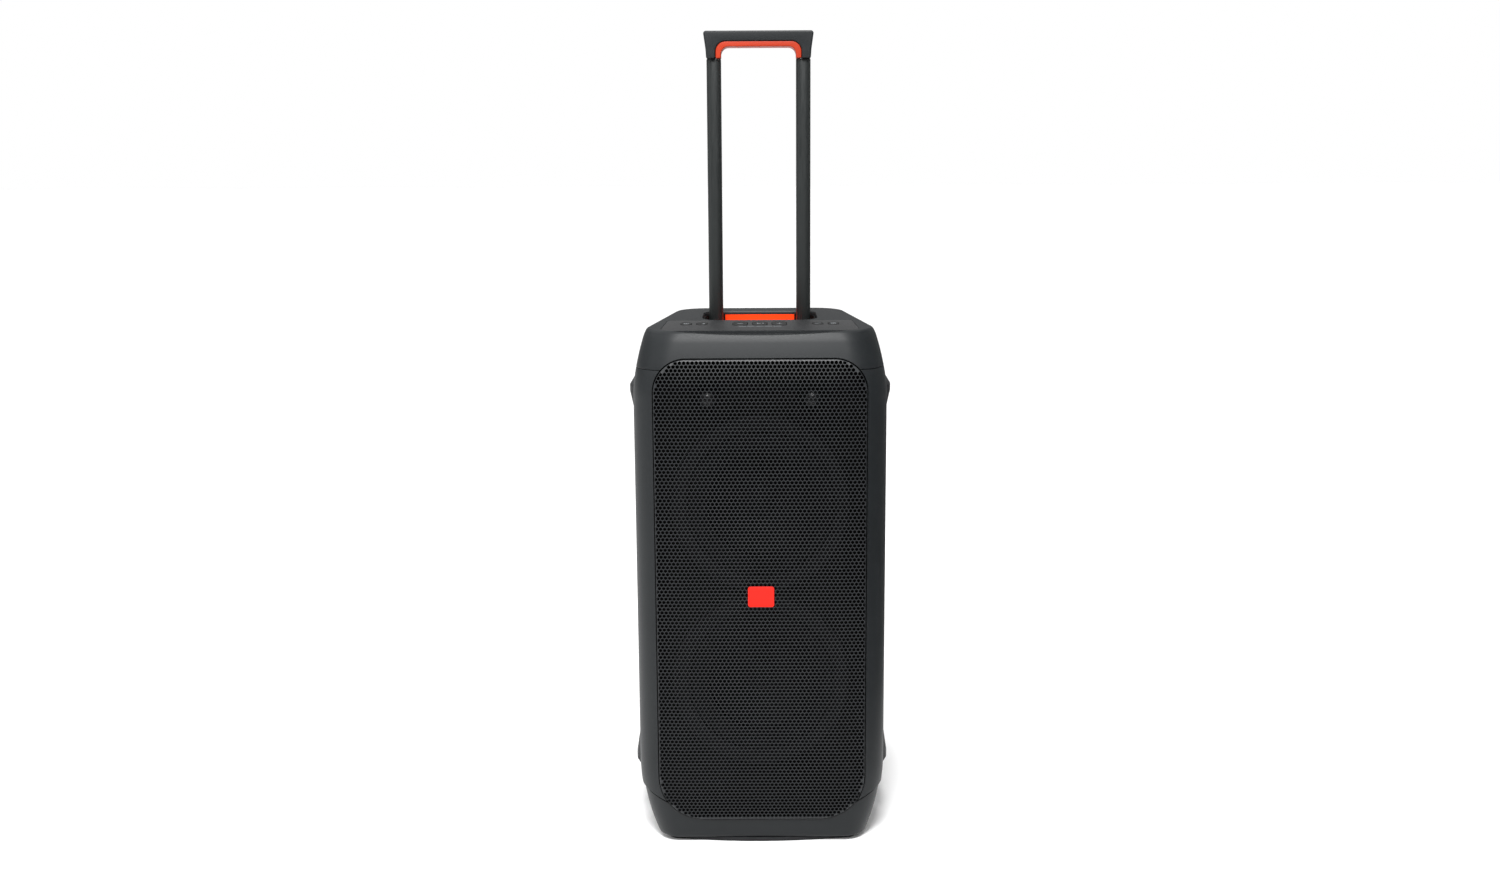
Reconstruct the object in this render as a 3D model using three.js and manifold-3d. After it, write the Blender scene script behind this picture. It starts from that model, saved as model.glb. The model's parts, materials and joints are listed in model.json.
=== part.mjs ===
// A trolley party speaker: two woofers and two tweeters behind a steel grille, in a moulded cabinet
// with a telescopic handle, two wheels, a top control panel and a rear socket bay.
// Millimetres, +Z up, the front faces -Y. The origin is on the floor, under the middle of the speaker.
import * as THREE from "three";
import { mergeVertices } from "three/addons/utils/BufferGeometryUtils.js";
import Module from "manifold-3d";

const wasm = await Module();
wasm.setup();

// ---------------------------------------------------------------- driving dimensions

const GAP = 0.3; // clearance between neighbouring pieces
const REACH = 400; // longer than any wall, for tools that cut right through
const OVERSHOOT = 20; // how far shorter tools stick out of what they cut

const CABINET = {
  halfWidth: 159,
  front: -179.5,
  back: 136,
  bottom: 6,
  top: 670,
  wall: 4,
  frontRadius: 46,
  backRadius: 40,
  upperSeam: 621,
  topSlope: 0.018, // the top rises towards the back
  slopeAxis: -35, // the y at which the sloping top is CABINET.top high
  topEdge: 5, // the height of the bevel round the top
};
// The lower seam is level in the middle and climbs near the sides; the bottom cap below it is a
// step narrower all round.
const LOWER_SEAM = { middle: 56, ends: 74.5, from: 114, to: 156, step: 2.5 };
// How far each wall has moved in after length, and how much smaller the corners' radius is by then.
const LOWER_TAPER = {
  start: 108,
  length: 108,
  power: 2,
  sides: 24,
  backSides: 24,
  front: 15,
  back: 22,
  corner: 18,
};
const UPPER_TAPER = {
  start: 590,
  length: 82,
  power: 1.5,
  sides: 9,
  backSides: 51,
  front: 21,
  back: 36,
  corner: 0,
};

const WINDOW = { halfWidth: 133, bottom: 37, top: 639, topRadius: 41, bottomRadius: 61 };
const GRILLE = { front: -181.5, sheet: 1.4, rollWidth: 9, rollDepth: 6.5, crown: 1.5, crownInset: 36 };
const BADGE = { width: 33, height: 26.5, corner: 4, z: 336, thickness: 1.7 };
const BAFFLE = {
  halfWidth: 144,
  bottom: 26,
  top: 644,
  corner: 70,
  front: -160,
  thickness: 12,
  rim: { inner: 1, outer: 6, height: 3 }, // stands round the grille's edge
};

const WOOFER = {
  heights: { lower: 221, upper: 451 },
  hole: 76,
  flange: 90,
  cone: 63.5,
  coil: 18.5,
  magnet: 42,
};
const LIGHT_RING = { inner: 93, outer: 112, height: 7 };
const TWEETER = { x: 65, z: 582, flange: 33, hole: 25, dome: 13 };

const PANEL = { frontHalf: 124, backHalf: 120, front: -152.5, back: -46, corner: 20, thickness: 4 };
const CRESCENT = { halfWidth: 113, drop: 5 };
const LARGE_KEY = { width: 19, length: 38, y: -84 };
const SMALL_KEY = { width: 14, length: 24, y: -84 };
const KEY_HEIGHT = 7;
const KEY_PROUD = 0.8;
const KEY_CLEARANCE = 0.4;
const KEYS = {
  key_power: { x: -94, size: SMALL_KEY },
  key_pairing: { x: -74, size: SMALL_KEY },
  key_volume_down: { x: -25, size: LARGE_KEY },
  key_play: { x: 0, size: LARGE_KEY },
  key_volume_up: { x: 25, size: LARGE_KEY },
  key_bass: { x: 74, size: SMALL_KEY },
  key_light: { x: 94, size: SMALL_KEY },
};

const POCKET = {
  halfWidth: 75.5,
  front: -42.5,
  back: 61.5,
  corner: 24,
  floor: 636,
  rim: 667,
  wall: 2.5,
  linerHalf: 47.2, // the orange liner lies between the tubes; the guides form the pocket's ends
};
const HANDLE = {
  tubeX: 58.5,
  y: 22.5,
  tubeWidth: 19,
  tubeDepth: 22,
  tubeBottom: 570,
  grip: { top: 1040, bottom: 1005, topWidth: 144, bottomWidth: 136, depth: 34 },
  arch: { halfWidth: 56, top: 1027, band: 7, radius: 13 },
  spigot: { width: 7, depth: 14, corner: 2, offset: 3, above: 12, below: 8 },
  guideBottom: 205,
  guideWall: 2.4,
  guideClearance: 0.8,
};
const LATCH = { width: 42, depth: 15, height: 8, corner: 6, travel: 3 };

const WHEEL = { x: 133, y: 128.5, z: 57, radius: 55, width: 34, rim: 43, axle: 5, well: 60, wellInner: 107 };
const FEET = {
  height: 6,
  depth: 30,
  corner: 6,
  front: { width: 244, y: -149.5, frontCorner: 24 },
  back: { width: 150, y: 82, frontCorner: 6 },
};
// A wedge with a steep end, a flat crest and a long taper.
const BUMPER = {
  proud: 8,
  length: 150,
  y: -35,
  upper: 602, // the upper bumper's steep end, which faces up
  lower: 80, // the lower bumper's steep end, which faces down
  steep: 9,
  crest: 8,
  upperTaper: 19,
  lowerTaper: 29,
};

const SOCKET_BAY = { width: 170, height: 84, corner: 3, z: 542, depth: 22, wall: 3, lip: 4 };
const BAY_ROWS = { knobs: [-58, 18], jacks: [-28, 48], z: 548, digitalZ: 522 };
const KNOB = { radius: 8.5, length: 12, shaft: 3 };
const JACK = { nut: 9, barrel: 6, bore: 3.3, length: 24 };
const DIGITAL = { usb: { x: 70, width: 14, height: 7 }, aux: { x: 48, radius: 3 } };
const MAINS = { width: 36, height: 30, corner: 3, z: 130, depth: 30, rim: 3 };
const MAINS_SOCKET = { width: 24, height: 16, corner: 4, floor: 12 };
const COVER = { thickness: 3, gap: 0.8, edge: 0.9 };
const PORT = { bore: 30, wall: 2.5, throat: 35.7, mouth: 42, length: 108, z: 400 };

const BOARD = { width: 150, height: 92, thickness: 1.6, y: 82 };
const HEATSINK = { x: -21, width: 54, height: 60, base: 5, fins: 7, finPitch: 8, finDepth: 16 };
const SUPPLY = { x: 42, width: 46, height: 50, depth: 18 };
const BATTERY = { width: 150, depth: 66, height: 62, corner: 6, y: 20 };

// ---------------------------------------------------------------- materials

const finish = (color, roughness, metalness = 0) =>
  new THREE.MeshStandardMaterial({ color, roughness, metalness });

const MATERIAL = {
  casing: finish(0x35363a, 0.5),
  panel: finish(0x232427, 0.35),
  grille: finish(0x2a2b2d, 0.45, 0.6),
  orange: finish(0xf2491c, 0.5),
  badge: finish(0xf03c2c, 0.35),
  rubber: finish(0x1b1b1c, 0.85),
  tube: finish(0x303333, 0.4, 0.7),
  innerPlastic: finish(0x1c1d1f, 0.6),
  basket: finish(0x222326, 0.45, 0.5),
  magnet: finish(0x3a3a3c, 0.6, 0.4),
  cone: finish(0x141415, 0.8),
  diffuser: finish(0x26272a, 0.3),
  steel: finish(0xa8abb0, 0.3, 1),
  board: finish(0x1d5a34, 0.5),
  battery: finish(0x3b4a63, 0.55),
};

// ---------------------------------------------------------------- shape helpers

// A closed outline with a round corner of radius r at each { x, y, r }, listed anticlockwise.
function roundedOutline(corners) {
  const outline = new THREE.Shape();
  corners.forEach(({ x, y, r }, i) => {
    const corner = new THREE.Vector2(x, y);
    const towards = (other) => new THREE.Vector2(other.x, other.y).sub(corner).normalize();
    const back = towards(corners.at(i - 1));
    const on = towards(corners[(i + 1) % corners.length]);
    const halfAngle = Math.acos(back.dot(on)) / 2;
    const middle = back.clone().add(on).normalize().multiplyScalar(r / Math.sin(halfAngle));
    const angleAt = (side) =>
      side.clone().multiplyScalar(r / Math.tan(halfAngle)).sub(middle).angle();
    const hollowCorner = back.cross(on) > 0;
    outline.absarc(x + middle.x, y + middle.y, r, angleAt(back), angleAt(on), hollowCorner);
  });
  return outline;
}

// A rectangle round the middle (x, y) with one corner radius.
function roundedRectangle(width, height, r, x = 0, y = 0) {
  const [w, h] = [width / 2, height / 2];
  return roundedOutline([
    { x: x - w, y: y - h, r },
    { x: x + w, y: y - h, r },
    { x: x + w, y: y + h, r },
    { x: x - w, y: y + h, r },
  ]);
}

// A solid from an outline in XY, rising from z to z + height.
function prism(outline, height, { z = 0, round = 0, steps = 1, curveSegments = 2 } = {}) {
  const geometry = new THREE.ExtrudeGeometry(outline, {
    depth: height - 2 * round,
    bevelEnabled: round > 0,
    bevelThickness: round,
    bevelSize: round,
    bevelOffset: -round,
    bevelSegments: steps,
    curveSegments,
  });
  return geometry.translate(0, 0, z + round);
}

// A solid from an outline drawn in XZ, running back from y to y + depth.
function prismBack(outline, depth, { y = 0, ...options } = {}) {
  return prism(outline, depth, options).rotateX(Math.PI / 2).translate(0, y + depth, 0);
}

// A solid skinned over outlines of equal point count; each section is { outline, z, slope }.
function loft(sections, divisions = 3) {
  const rings = sections.map(({ outline, z, slope = 0 }) =>
    outline.getPoints(divisions).map((p) => new THREE.Vector3(p.x, p.y, z + slope * p.y)),
  );
  const count = rings[0].length;
  const index = [];
  for (let ring = 0; ring + 1 < rings.length; ring++) {
    for (let i = 0; i < count; i++) {
      const [a, b] = [ring * count + i, ring * count + ((i + 1) % count)];
      index.push(a, b, b + count, a, b + count, a + count);
    }
  }
  const lid = THREE.ShapeUtils.triangulateShape(sections[0].outline.getPoints(divisions), []);
  const lastRing = (rings.length - 1) * count;
  for (const [a, b, c] of lid) {
    index.push(c, b, a, a + lastRing, b + lastRing, c + lastRing);
  }
  return new THREE.BufferGeometry().setFromPoints(rings.flat()).setIndex(index);
}

// A solid of revolution from a closed [radius, height] profile; it stands along +Y.
function turned(profile, segments = 24) {
  const points = [...profile, profile[0]].map(([r, h]) => new THREE.Vector2(r, h));
  return toGeometry(toSolid(new THREE.LatheGeometry(points, segments)));
}

const cylinder = (radius, length, segments = 24) =>
  new THREE.CylinderGeometry(radius, radius, length, segments);

const box = (width, depth, height, x = 0, y = 0, z = 0) =>
  new THREE.BoxGeometry(width, depth, height).translate(x, y, z);

// ---------------------------------------------------------------- joining and cutting

function toSolid(geometry) {
  const bare = geometry.clone();
  bare.deleteAttribute("normal");
  bare.deleteAttribute("uv");
  const { index, attributes } = mergeVertices(bare, 1e-3);
  const triVerts = [];
  for (let i = 0; i < index.count; i += 3) {
    const triangle = index.array.slice(i, i + 3);
    if (new Set(triangle).size === 3) triVerts.push(...triangle);
  }
  return new wasm.Manifold(
    new wasm.Mesh({
      numProp: 3,
      vertProperties: attributes.position.array,
      triVerts: new Uint32Array(triVerts),
    }),
  );
}

function toGeometry(solid) {
  const { vertProperties, triVerts } = solid.getMesh();
  return new THREE.BufferGeometry()
    .setAttribute("position", new THREE.BufferAttribute(new Float32Array(vertProperties), 3))
    .setIndex(new THREE.BufferAttribute(new Uint32Array(triVerts), 1));
}

const combine = (operation) => (first, ...others) =>
  toGeometry(others.map(toSolid).reduce((whole, other) => whole[operation](other), toSolid(first)));
const cut = combine("subtract");
const join = combine("add");
const common = combine("intersect");

function piece(name, geometry, material) {
  const mesh = new THREE.Mesh(geometry, material);
  mesh.name = name;
  return mesh;
}

function group(pieces, { position = [0, 0, 0], rotation = [0, 0, 0] } = {}) {
  const holder = new THREE.Group();
  holder.position.set(...position);
  holder.rotation.set(...rotation);
  holder.add(...pieces);
  return holder;
}

// ---------------------------------------------------------------- cabinet

// The cabinet's plan at height z, moved in by inset. Near the top its sides draw in towards the back.
function cabinetPlan(z, inset = 0) {
  const below = Math.max(0, (LOWER_TAPER.start - z) / LOWER_TAPER.length) ** LOWER_TAPER.power;
  const above = Math.max(0, (z - UPPER_TAPER.start) / UPPER_TAPER.length) ** UPPER_TAPER.power;
  const drawnIn = (wall) => LOWER_TAPER[wall] * below + UPPER_TAPER[wall] * above + inset;
  const frontHalf = CABINET.halfWidth - drawnIn("sides");
  const backHalf = CABINET.halfWidth - drawnIn("backSides");
  const front = CABINET.front + drawnIn("front");
  const back = CABINET.back - drawnIn("back");
  const sharper = LOWER_TAPER.corner * below + UPPER_TAPER.corner * above + inset;
  const frontRadius = CABINET.frontRadius - sharper;
  const backRadius = CABINET.backRadius - sharper;
  return roundedOutline([
    { x: -frontHalf, y: front, r: frontRadius },
    { x: frontHalf, y: front, r: frontRadius },
    { x: backHalf, y: back, r: backRadius },
    { x: -backHalf, y: back, r: backRadius },
  ]);
}

const topAt = (y) => CABINET.top + CABINET.topSlope * (y - CABINET.slopeAxis);

// The cabinet's bulk, moved in by inset and closed by a sloping top that is topZ high at slopeAxis.
function cabinetBlock(heights, inset, topZ) {
  const { top, topSlope: slope, slopeAxis, topEdge } = CABINET;
  const sections = heights.map((z) => ({ outline: cabinetPlan(z, inset), z }));
  const lid = topZ - slope * slopeAxis;
  sections.push(
    { outline: cabinetPlan(top - topEdge, inset), z: lid - topEdge, slope },
    { outline: cabinetPlan(top, inset + topEdge / 2), z: lid, slope },
  );
  return loft(sections);
}

function windowOutline(grow = 0) {
  const { halfWidth, bottom, top, topRadius, bottomRadius } = WINDOW;
  return roundedOutline([
    { x: -halfWidth - grow, y: bottom - grow, r: bottomRadius + grow },
    { x: halfWidth + grow, y: bottom - grow, r: bottomRadius + grow },
    { x: halfWidth + grow, y: top + grow, r: topRadius + grow },
    { x: -halfWidth - grow, y: top + grow, r: topRadius + grow },
  ]);
}

// A disc on the wheels' axis, from x outwards on the given side.
function wheelSpace(side, x, radius) {
  const length = CABINET.halfWidth + OVERSHOOT - x;
  return cylinder(radius, length, 28)
    .rotateZ(Math.PI / 2)
    .translate(side * (x + length / 2), WHEEL.y, WHEEL.z);
}

// The whole hollow cabinet before it is divided into its three mouldings, moved in by step.
function carcass(step = 0) {
  const { wall, bottom, top } = CABINET;
  const lower = [14, 26, 42, 60, 78, LOWER_TAPER.start];
  const upper = [UPPER_TAPER.start, 604, 620, 636, 650];
  const outside = cabinetBlock([bottom, ...lower, ...upper, 660], step, top);
  const inside = cabinetBlock([bottom + wall, ...lower.slice(1), ...upper], step + wall, top - 2 * wall);
  const arches = [-1, 1].map((side) =>
    common(wheelSpace(side, WHEEL.wellInner - wall, WHEEL.well + wall), outside),
  );
  const wells = [-1, 1].map((side) => wheelSpace(side, WHEEL.wellInner, WHEEL.well));
  const axleHole = cylinder(WHEEL.axle + GAP, 2 * CABINET.halfWidth, 16)
    .rotateZ(Math.PI / 2)
    .translate(0, WHEEL.y, WHEEL.z);
  const window = prismBack(windowOutline(), 2 * OVERSHOOT, {
    y: CABINET.front - OVERSHOOT,
    curveSegments: 3,
  });
  return cut(join(cut(outside, inside), ...arches), ...wells, axleHole, window);
}

const slab = (from, to) => box(REACH, 2 * REACH, to - from, 0, 0, (from + to) / 2);

// Everything below the lower seam, moved up by offset.
function belowLowerSeam(offset) {
  const { middle, ends, from, to } = LOWER_SEAM;
  const seam = [
    [REACH, ends], [to, ends], [from, middle], [-from, middle], [-to, ends], [-REACH, ends],
  ].map(([x, z]) => new THREE.Vector2(x, z + offset));
  const outline = new THREE.Shape([
    new THREE.Vector2(-REACH, -REACH),
    new THREE.Vector2(REACH, -REACH),
    ...seam,
  ]);
  return prismBack(outline, 2 * REACH, { y: -REACH });
}

function cabinetPieces() {
  const whole = carcass();
  const { upperSeam, top, back } = CABINET;
  const lower = common(carcass(LOWER_SEAM.step), belowLowerSeam(-GAP));
  const middle = cut(common(whole, slab(0, upperSeam - GAP)), belowLowerSeam(GAP));
  const upper = common(whole, slab(upperSeam + GAP, top + OVERSHOOT));

  const portHole = cylinder(PORT.throat + GAP, 2 * OVERSHOOT).translate(0, back, PORT.z);
  const openings = [portHole, rearOpening(SOCKET_BAY), rearOpening(MAINS)];
  const pocketHole = prism(pocketOutline(), 2 * OVERSHOOT, { z: POCKET.rim - OVERSHOOT });
  return [
    piece("cabinet_shell", cut(middle, ...openings), MATERIAL.casing),
    piece("bottom_cap", lower, MATERIAL.casing),
    piece("top_cap", cut(upper, pocketHole, panelSpace(), crescent()), MATERIAL.casing),
    piece("pocket_liner", pocketLiner(), MATERIAL.orange),
  ];
}

// The hole in the back wall for the socket bay or the mains inlet.
function rearOpening({ width, height, corner, z }) {
  const outline = roundedRectangle(width, height, corner, 0, z);
  return prismBack(outline, 2 * OVERSHOOT, { y: CABINET.back - OVERSHOOT });
}

function pocketOutline(inset = 0) {
  const { halfWidth, front, back, corner } = POCKET;
  const [width, length] = [2 * (halfWidth - inset), back - front - 2 * inset];
  return roundedRectangle(width, length, corner - inset, 0, (front + back) / 2);
}

// The tub in the top that the lowered handle sinks into, with its underside at the given height.
function pocketTub(underside) {
  const { floor, rim, wall } = POCKET;
  const outside = prism(pocketOutline(GAP), rim - underside, { z: underside });
  const inside = prism(pocketOutline(wall), rim - floor, { z: floor + wall });
  return cut(outside, inside);
}

// The tub's orange middle part.
function pocketLiner() {
  return common(pocketTub(POCKET.floor), box(2 * POCKET.linerHalf, REACH, REACH, 0, 0, POCKET.floor));
}

function bumpers() {
  const { proud, length, y, upper, lower, steep, crest, upperTaper, lowerTaper } = BUMPER;
  const wall = CABINET.halfWidth + GAP;
  const tip = wall + proud;
  const bar = ([low, lowTip, highTip, high]) => {
    const profile = roundedOutline([
      { x: wall, y: low, r: 1 },
      { x: tip, y: lowTip, r: 2.5 },
      { x: tip, y: highTip, r: 2.5 },
      { x: wall, y: high, r: 1 },
    ]);
    return prismBack(profile, length, { y: y - length / 2, round: 0.9 });
  };
  const upperCrest = upper - steep - crest;
  const lowerCrest = lower + steep + crest;
  const heights = {
    upper: [upperCrest - upperTaper, upperCrest, upper - steep, upper],
    lower: [lower, lower + steep, lowerCrest, lowerCrest + lowerTaper],
  };
  return Object.entries(heights).flatMap(([level, steps]) => [
    piece(`bumper_${level}_right`, bar(steps), MATERIAL.rubber),
    piece(`bumper_${level}_left`, bar(steps).rotateZ(Math.PI).translate(0, 2 * y, 0), MATERIAL.rubber),
  ]);
}

function feet() {
  const { height, depth, corner } = FEET;
  const pad = ({ width, y, frontCorner }) => {
    const outline = roundedOutline([
      { x: -width / 2, y: y - depth / 2, r: frontCorner },
      { x: width / 2, y: y - depth / 2, r: frontCorner },
      { x: width / 2, y: y + depth / 2, r: corner },
      { x: -width / 2, y: y + depth / 2, r: corner },
    ]);
    return prism(outline, height - GAP, { round: 1.2, curveSegments: 3 });
  };
  return [
    piece("foot_front", pad(FEET.front), MATERIAL.rubber),
    piece("foot_back", pad(FEET.back), MATERIAL.rubber),
  ];
}

// ---------------------------------------------------------------- front

function grille() {
  const { front, sheet, rollWidth, rollDepth, crown, crownInset } = GRILLE;
  const flange = BAFFLE.front - GAP;
  const outline = (inset) => windowOutline(-1 - inset);
  const quarters = [0, 0.35, 0.7, 1].map((share) => (share * Math.PI) / 2);
  // The sheet rises from its flange, rolls over its edge, and swells towards the middle.
  const tray = (inset) => {
    const face = flange - front - inset;
    const edge = face - crown;
    return loft([
      { outline: outline(inset), z: -inset },
      ...quarters.map((angle) => ({
        outline: outline(inset + rollWidth * (1 - Math.cos(angle))),
        z: edge - rollDepth * (1 - Math.sin(angle)),
      })),
      { outline: outline(crownInset), z: face },
    ]);
  };
  return piece("front_grille", layForward(cut(tray(0), tray(sheet)), flange), MATERIAL.grille);
}

// Turns a solid drawn upwards from z = 0 so that it points forward from the given y, its y as height.
function layForward(geometry, y) {
  return geometry.rotateX(Math.PI / 2).translate(0, y, 0);
}

function badge() {
  const { width, height, corner, z, thickness } = BADGE;
  const plate = prism(roundedRectangle(width, height, corner, 0, z), thickness, { round: 0.6 });
  return piece("badge", layForward(plate, GRILLE.front - GAP), MATERIAL.badge);
}

function baffle() {
  const { halfWidth, bottom, top, corner, front, thickness, rim } = BAFFLE;
  const outline = roundedRectangle(2 * halfWidth, top - bottom, corner, 0, (bottom + top) / 2);
  const plate = prismBack(outline, thickness, { y: front });
  const hole = (radius, x, z) => cylinder(radius, 2 * OVERSHOOT).translate(x, front, z);
  const holes = [
    ...Object.values(WOOFER.heights).map((z) => hole(WOOFER.hole, 0, z)),
    ...[-1, 1].map((side) => hole(TWEETER.hole, side * TWEETER.x, TWEETER.z)),
  ];
  const standing = (grow, height) =>
    prismBack(windowOutline(grow), height, { y: front - height, curveSegments: 3 });
  const raised = cut(standing(rim.outer, rim.height), standing(rim.inner, OVERSHOOT));
  const sunk = raised.translate(0, 0.5, 0); // so that the rim joins the plate
  return piece("front_baffle", cut(join(plate, sunk), ...holes), MATERIAL.innerPlastic);
}

// ---------------------------------------------------------------- loudspeakers
// Each loudspeaker is drawn along +Y from the baffle's front face, then turned to face forward.

function woofer(name, z) {
  const { hole, flange, cone, coil, magnet } = WOOFER;
  const rear = -70; // the height of the magnet's back
  const basketProfile = [
    [hole - 2.6, GAP], [hole - 5.5, -8], [magnet + 3, -38], [coil + 6, -38], [coil + 6, -41],
    [magnet + 4.5, -41], [hole - 2.6, -10], [hole - 1, -8], [hole - 1, GAP], [flange, GAP], [flange, 3.8],
    [hole - 2.6, 3.8],
  ];
  const slots = Array.from({ length: 5 }, (_, i) =>
    box(32, 26, 60, 0, -23, hole).rotateY((i * Math.PI) / 2.5),
  );
  const magnetProfile = [
    [0, rear], [magnet, rear], [magnet, -41.3], [coil + 2.2, -41.3], [coil + 2.2, -64],
    [coil - 2.4, -64], [coil - 2.4, -40], [0, -40],
  ];
  const coneProfile = [
    [coil - 0.9, -55], [coil + 0.9, -55], [coil + 0.9, -31.5], [cone, -1], [cone, 0.8],
    [coil + 6, -26.8], [coil - 0.9, -28],
  ];
  const domeProfile = [
    [24, -25], [17, -19.4], [9, -16.6], [0, -15.6], [0, -16.9], [9, -18], [17, -21.4], [22.4, -25],
  ];
  const surroundProfile = [
    [cone + 0.5, 0.3], [cone + 1.7, 0.3], [cone + 2.2, 5], [cone + 4.8, 8.6], [cone + 8, 7.6],
    [cone + 10, 4.1], [cone + 18, 4.1], [cone + 18, 5.3], [cone + 10.8, 5.3], [cone + 8.6, 9],
    [cone + 4.6, 10], [cone + 0.7, 5.4],
  ];
  const basket = cut(turned(basketProfile, 20), ...slots);
  return group(
    [
      piece(`${name}_basket`, basket, MATERIAL.basket),
      piece(`${name}_magnet`, turned(magnetProfile, 20), MATERIAL.magnet),
      piece(`${name}_cone`, turned(coneProfile), MATERIAL.cone),
      piece(`${name}_dust_cap`, turned(domeProfile, 16), MATERIAL.cone),
      piece(`${name}_surround`, turned(surroundProfile), MATERIAL.rubber),
    ],
    { position: [0, BAFFLE.front, z], rotation: [Math.PI, 0, 0] },
  );
}

function lightRing(name, z) {
  const { inner, outer, height } = LIGHT_RING;
  const profile = [
    [inner, GAP], [outer, GAP], [outer, height - 3], [outer - 3, height], [inner + 3, height],
    [inner, height - 3],
  ];
  return group([piece(name, turned(profile, 28), MATERIAL.diffuser)], {
    position: [0, BAFFLE.front, z],
    rotation: [Math.PI, 0, 0],
  });
}

function tweeter(name, side) {
  const { flange, hole, dome } = TWEETER;
  const bodyProfile = [
    [0, -34], [hole - 2, -34], [hole - 2, GAP], [flange, GAP], [flange, 2.4], [flange - 1.5, 3.4],
    [flange - 6, 3.4], [dome + 2.6, -3], [dome + 1.2, -3], [dome + 1.2, -9], [0, -9],
  ];
  const domeProfile = [
    [dome, -6.5], [dome, -3], [dome * 0.86, 1.6], [dome * 0.5, 4.8], [0, 6.3],
    [0, 5], [dome * 0.46, 3.6], [dome * 0.76, 0.8], [dome - 1.2, -3], [dome - 1.2, -6.5],
  ];
  return group(
    [
      piece(`${name}_body`, turned(bodyProfile, 16), MATERIAL.innerPlastic),
      piece(`${name}_dome`, turned(domeProfile, 16), MATERIAL.magnet),
    ],
    { position: [side * TWEETER.x, BAFFLE.front, TWEETER.z], rotation: [Math.PI, 0, 0] },
  );
}

// ---------------------------------------------------------------- control panel

// The control panel's outline: the front part of the top, square across the back.
function panelOutline(grow = 0) {
  const { frontHalf, backHalf, front, back, corner } = PANEL;
  return roundedOutline([
    { x: -frontHalf - grow, y: front - grow, r: corner + grow },
    { x: frontHalf + grow, y: front - grow, r: corner + grow },
    { x: backHalf + grow, y: back + grow, r: 8 + grow },
    { x: -backHalf - grow, y: back + grow, r: 8 + grow },
  ]);
}

// Turns work drawn level on the sloping top's surface (z = 0) into its place.
const onTop = { position: [0, 0, topAt(0)], rotation: [Math.atan(CABINET.topSlope), 0, 0] };

function placedOnTop(geometry) {
  return geometry.rotateX(onTop.rotation[0]).translate(...onTop.position);
}

// The step that the control panel lies in, with a ledge under its edge.
function panelSpace() {
  const ledge = 7;
  const step = prism(panelOutline(GAP), PANEL.thickness + OVERSHOOT, { z: -PANEL.thickness - GAP });
  const opening = prism(panelOutline(-ledge), 2 * OVERSHOOT, { z: -OVERSHOOT });
  return placedOnTop(join(step, opening));
}

// The shallow scoop that bares the panel's front edge, deepest in the middle.
function crescent() {
  const { halfWidth, drop } = CRESCENT;
  const radius = (halfWidth ** 2 + drop ** 2) / (2 * drop);
  const y = PANEL.front - OVERSHOOT;
  const z = topAt(PANEL.front) - drop;
  const disc = cylinder(radius, 2 * OVERSHOOT, 220).translate(0, y, z + radius);
  const tip = box(2 * halfWidth + OVERSHOOT, 4 * OVERSHOOT, 2 * OVERSHOOT, 0, y, z + OVERSHOOT - 1);
  return common(disc, tip);
}

function controlPanel() {
  const plate = prism(panelOutline(), PANEL.thickness, { z: -PANEL.thickness });
  const holes = Object.values(KEYS).map(({ x, size }) =>
    prism(keyOutline(x, size, KEY_CLEARANCE), 2 * OVERSHOOT, { z: -OVERSHOOT }),
  );
  const keys = Object.entries(KEYS).map(([name, { x, size }]) =>
    piece(
      name,
      prism(keyOutline(x, size), KEY_HEIGHT, { z: KEY_PROUD - KEY_HEIGHT, round: 0.6 }),
      MATERIAL.rubber,
    ),
  );
  return group([piece("control_panel", cut(plate, ...holes), MATERIAL.panel), ...keys], onTop);
}

const keyOutline = (x, { width, length, y }, grow = 0) =>
  roundedRectangle(width + 2 * grow, length + 2 * grow, width * 0.42, x, y);

// ---------------------------------------------------------------- handle

function tubeOutline(grow = 0, x = 0, y = 0) {
  const { tubeWidth, tubeDepth } = HANDLE;
  return roundedRectangle(tubeWidth + 2 * grow, tubeDepth + 2 * grow, tubeWidth * 0.42 + grow, x, y);
}

// The outline of a tube's spigot, or of its socket in the grip.
function spigotOutline(side, grow = 0) {
  const { tubeX, y, spigot } = HANDLE;
  const [width, depth] = [spigot.width + 2 * grow, spigot.depth + 2 * grow];
  return roundedRectangle(width, depth, spigot.corner, side * (tubeX + spigot.offset), y);
}

function handleTube(name, side) {
  const { tubeX, y, tubeBottom, grip, spigot } = HANDLE;
  const top = grip.bottom - GAP;
  const tube = prism(tubeOutline(0, side * tubeX, y), top - tubeBottom, { z: tubeBottom });
  const pin = prism(spigotOutline(side), spigot.above + spigot.below, { z: top - spigot.below });
  return piece(name, join(tube, pin), MATERIAL.tube);
}

// The sleeve that a tube slides in; the cup at its top is one end of the handle's pocket.
function guideTube(name, side) {
  const { tubeX, y, guideBottom, guideWall, guideClearance } = HANDLE;
  const height = POCKET.floor - GAP - guideBottom;
  const sleeve = prism(tubeOutline(guideClearance + guideWall, side * tubeX, y), height, {
    z: guideBottom,
  });
  const bore = prism(tubeOutline(guideClearance, side * tubeX, y), height + 2 * OVERSHOOT, {
    z: guideBottom - OVERSHOOT,
  });
  const inner = POCKET.linerHalf + GAP;
  const end = box(OVERSHOOT * 2, REACH, REACH, side * (inner + OVERSHOOT), 0, POCKET.floor);
  const cup = common(pocketTub(POCKET.floor - 1.3), end);
  return piece(name, cut(join(sleeve, cup), bore), MATERIAL.innerPlastic);
}

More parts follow.
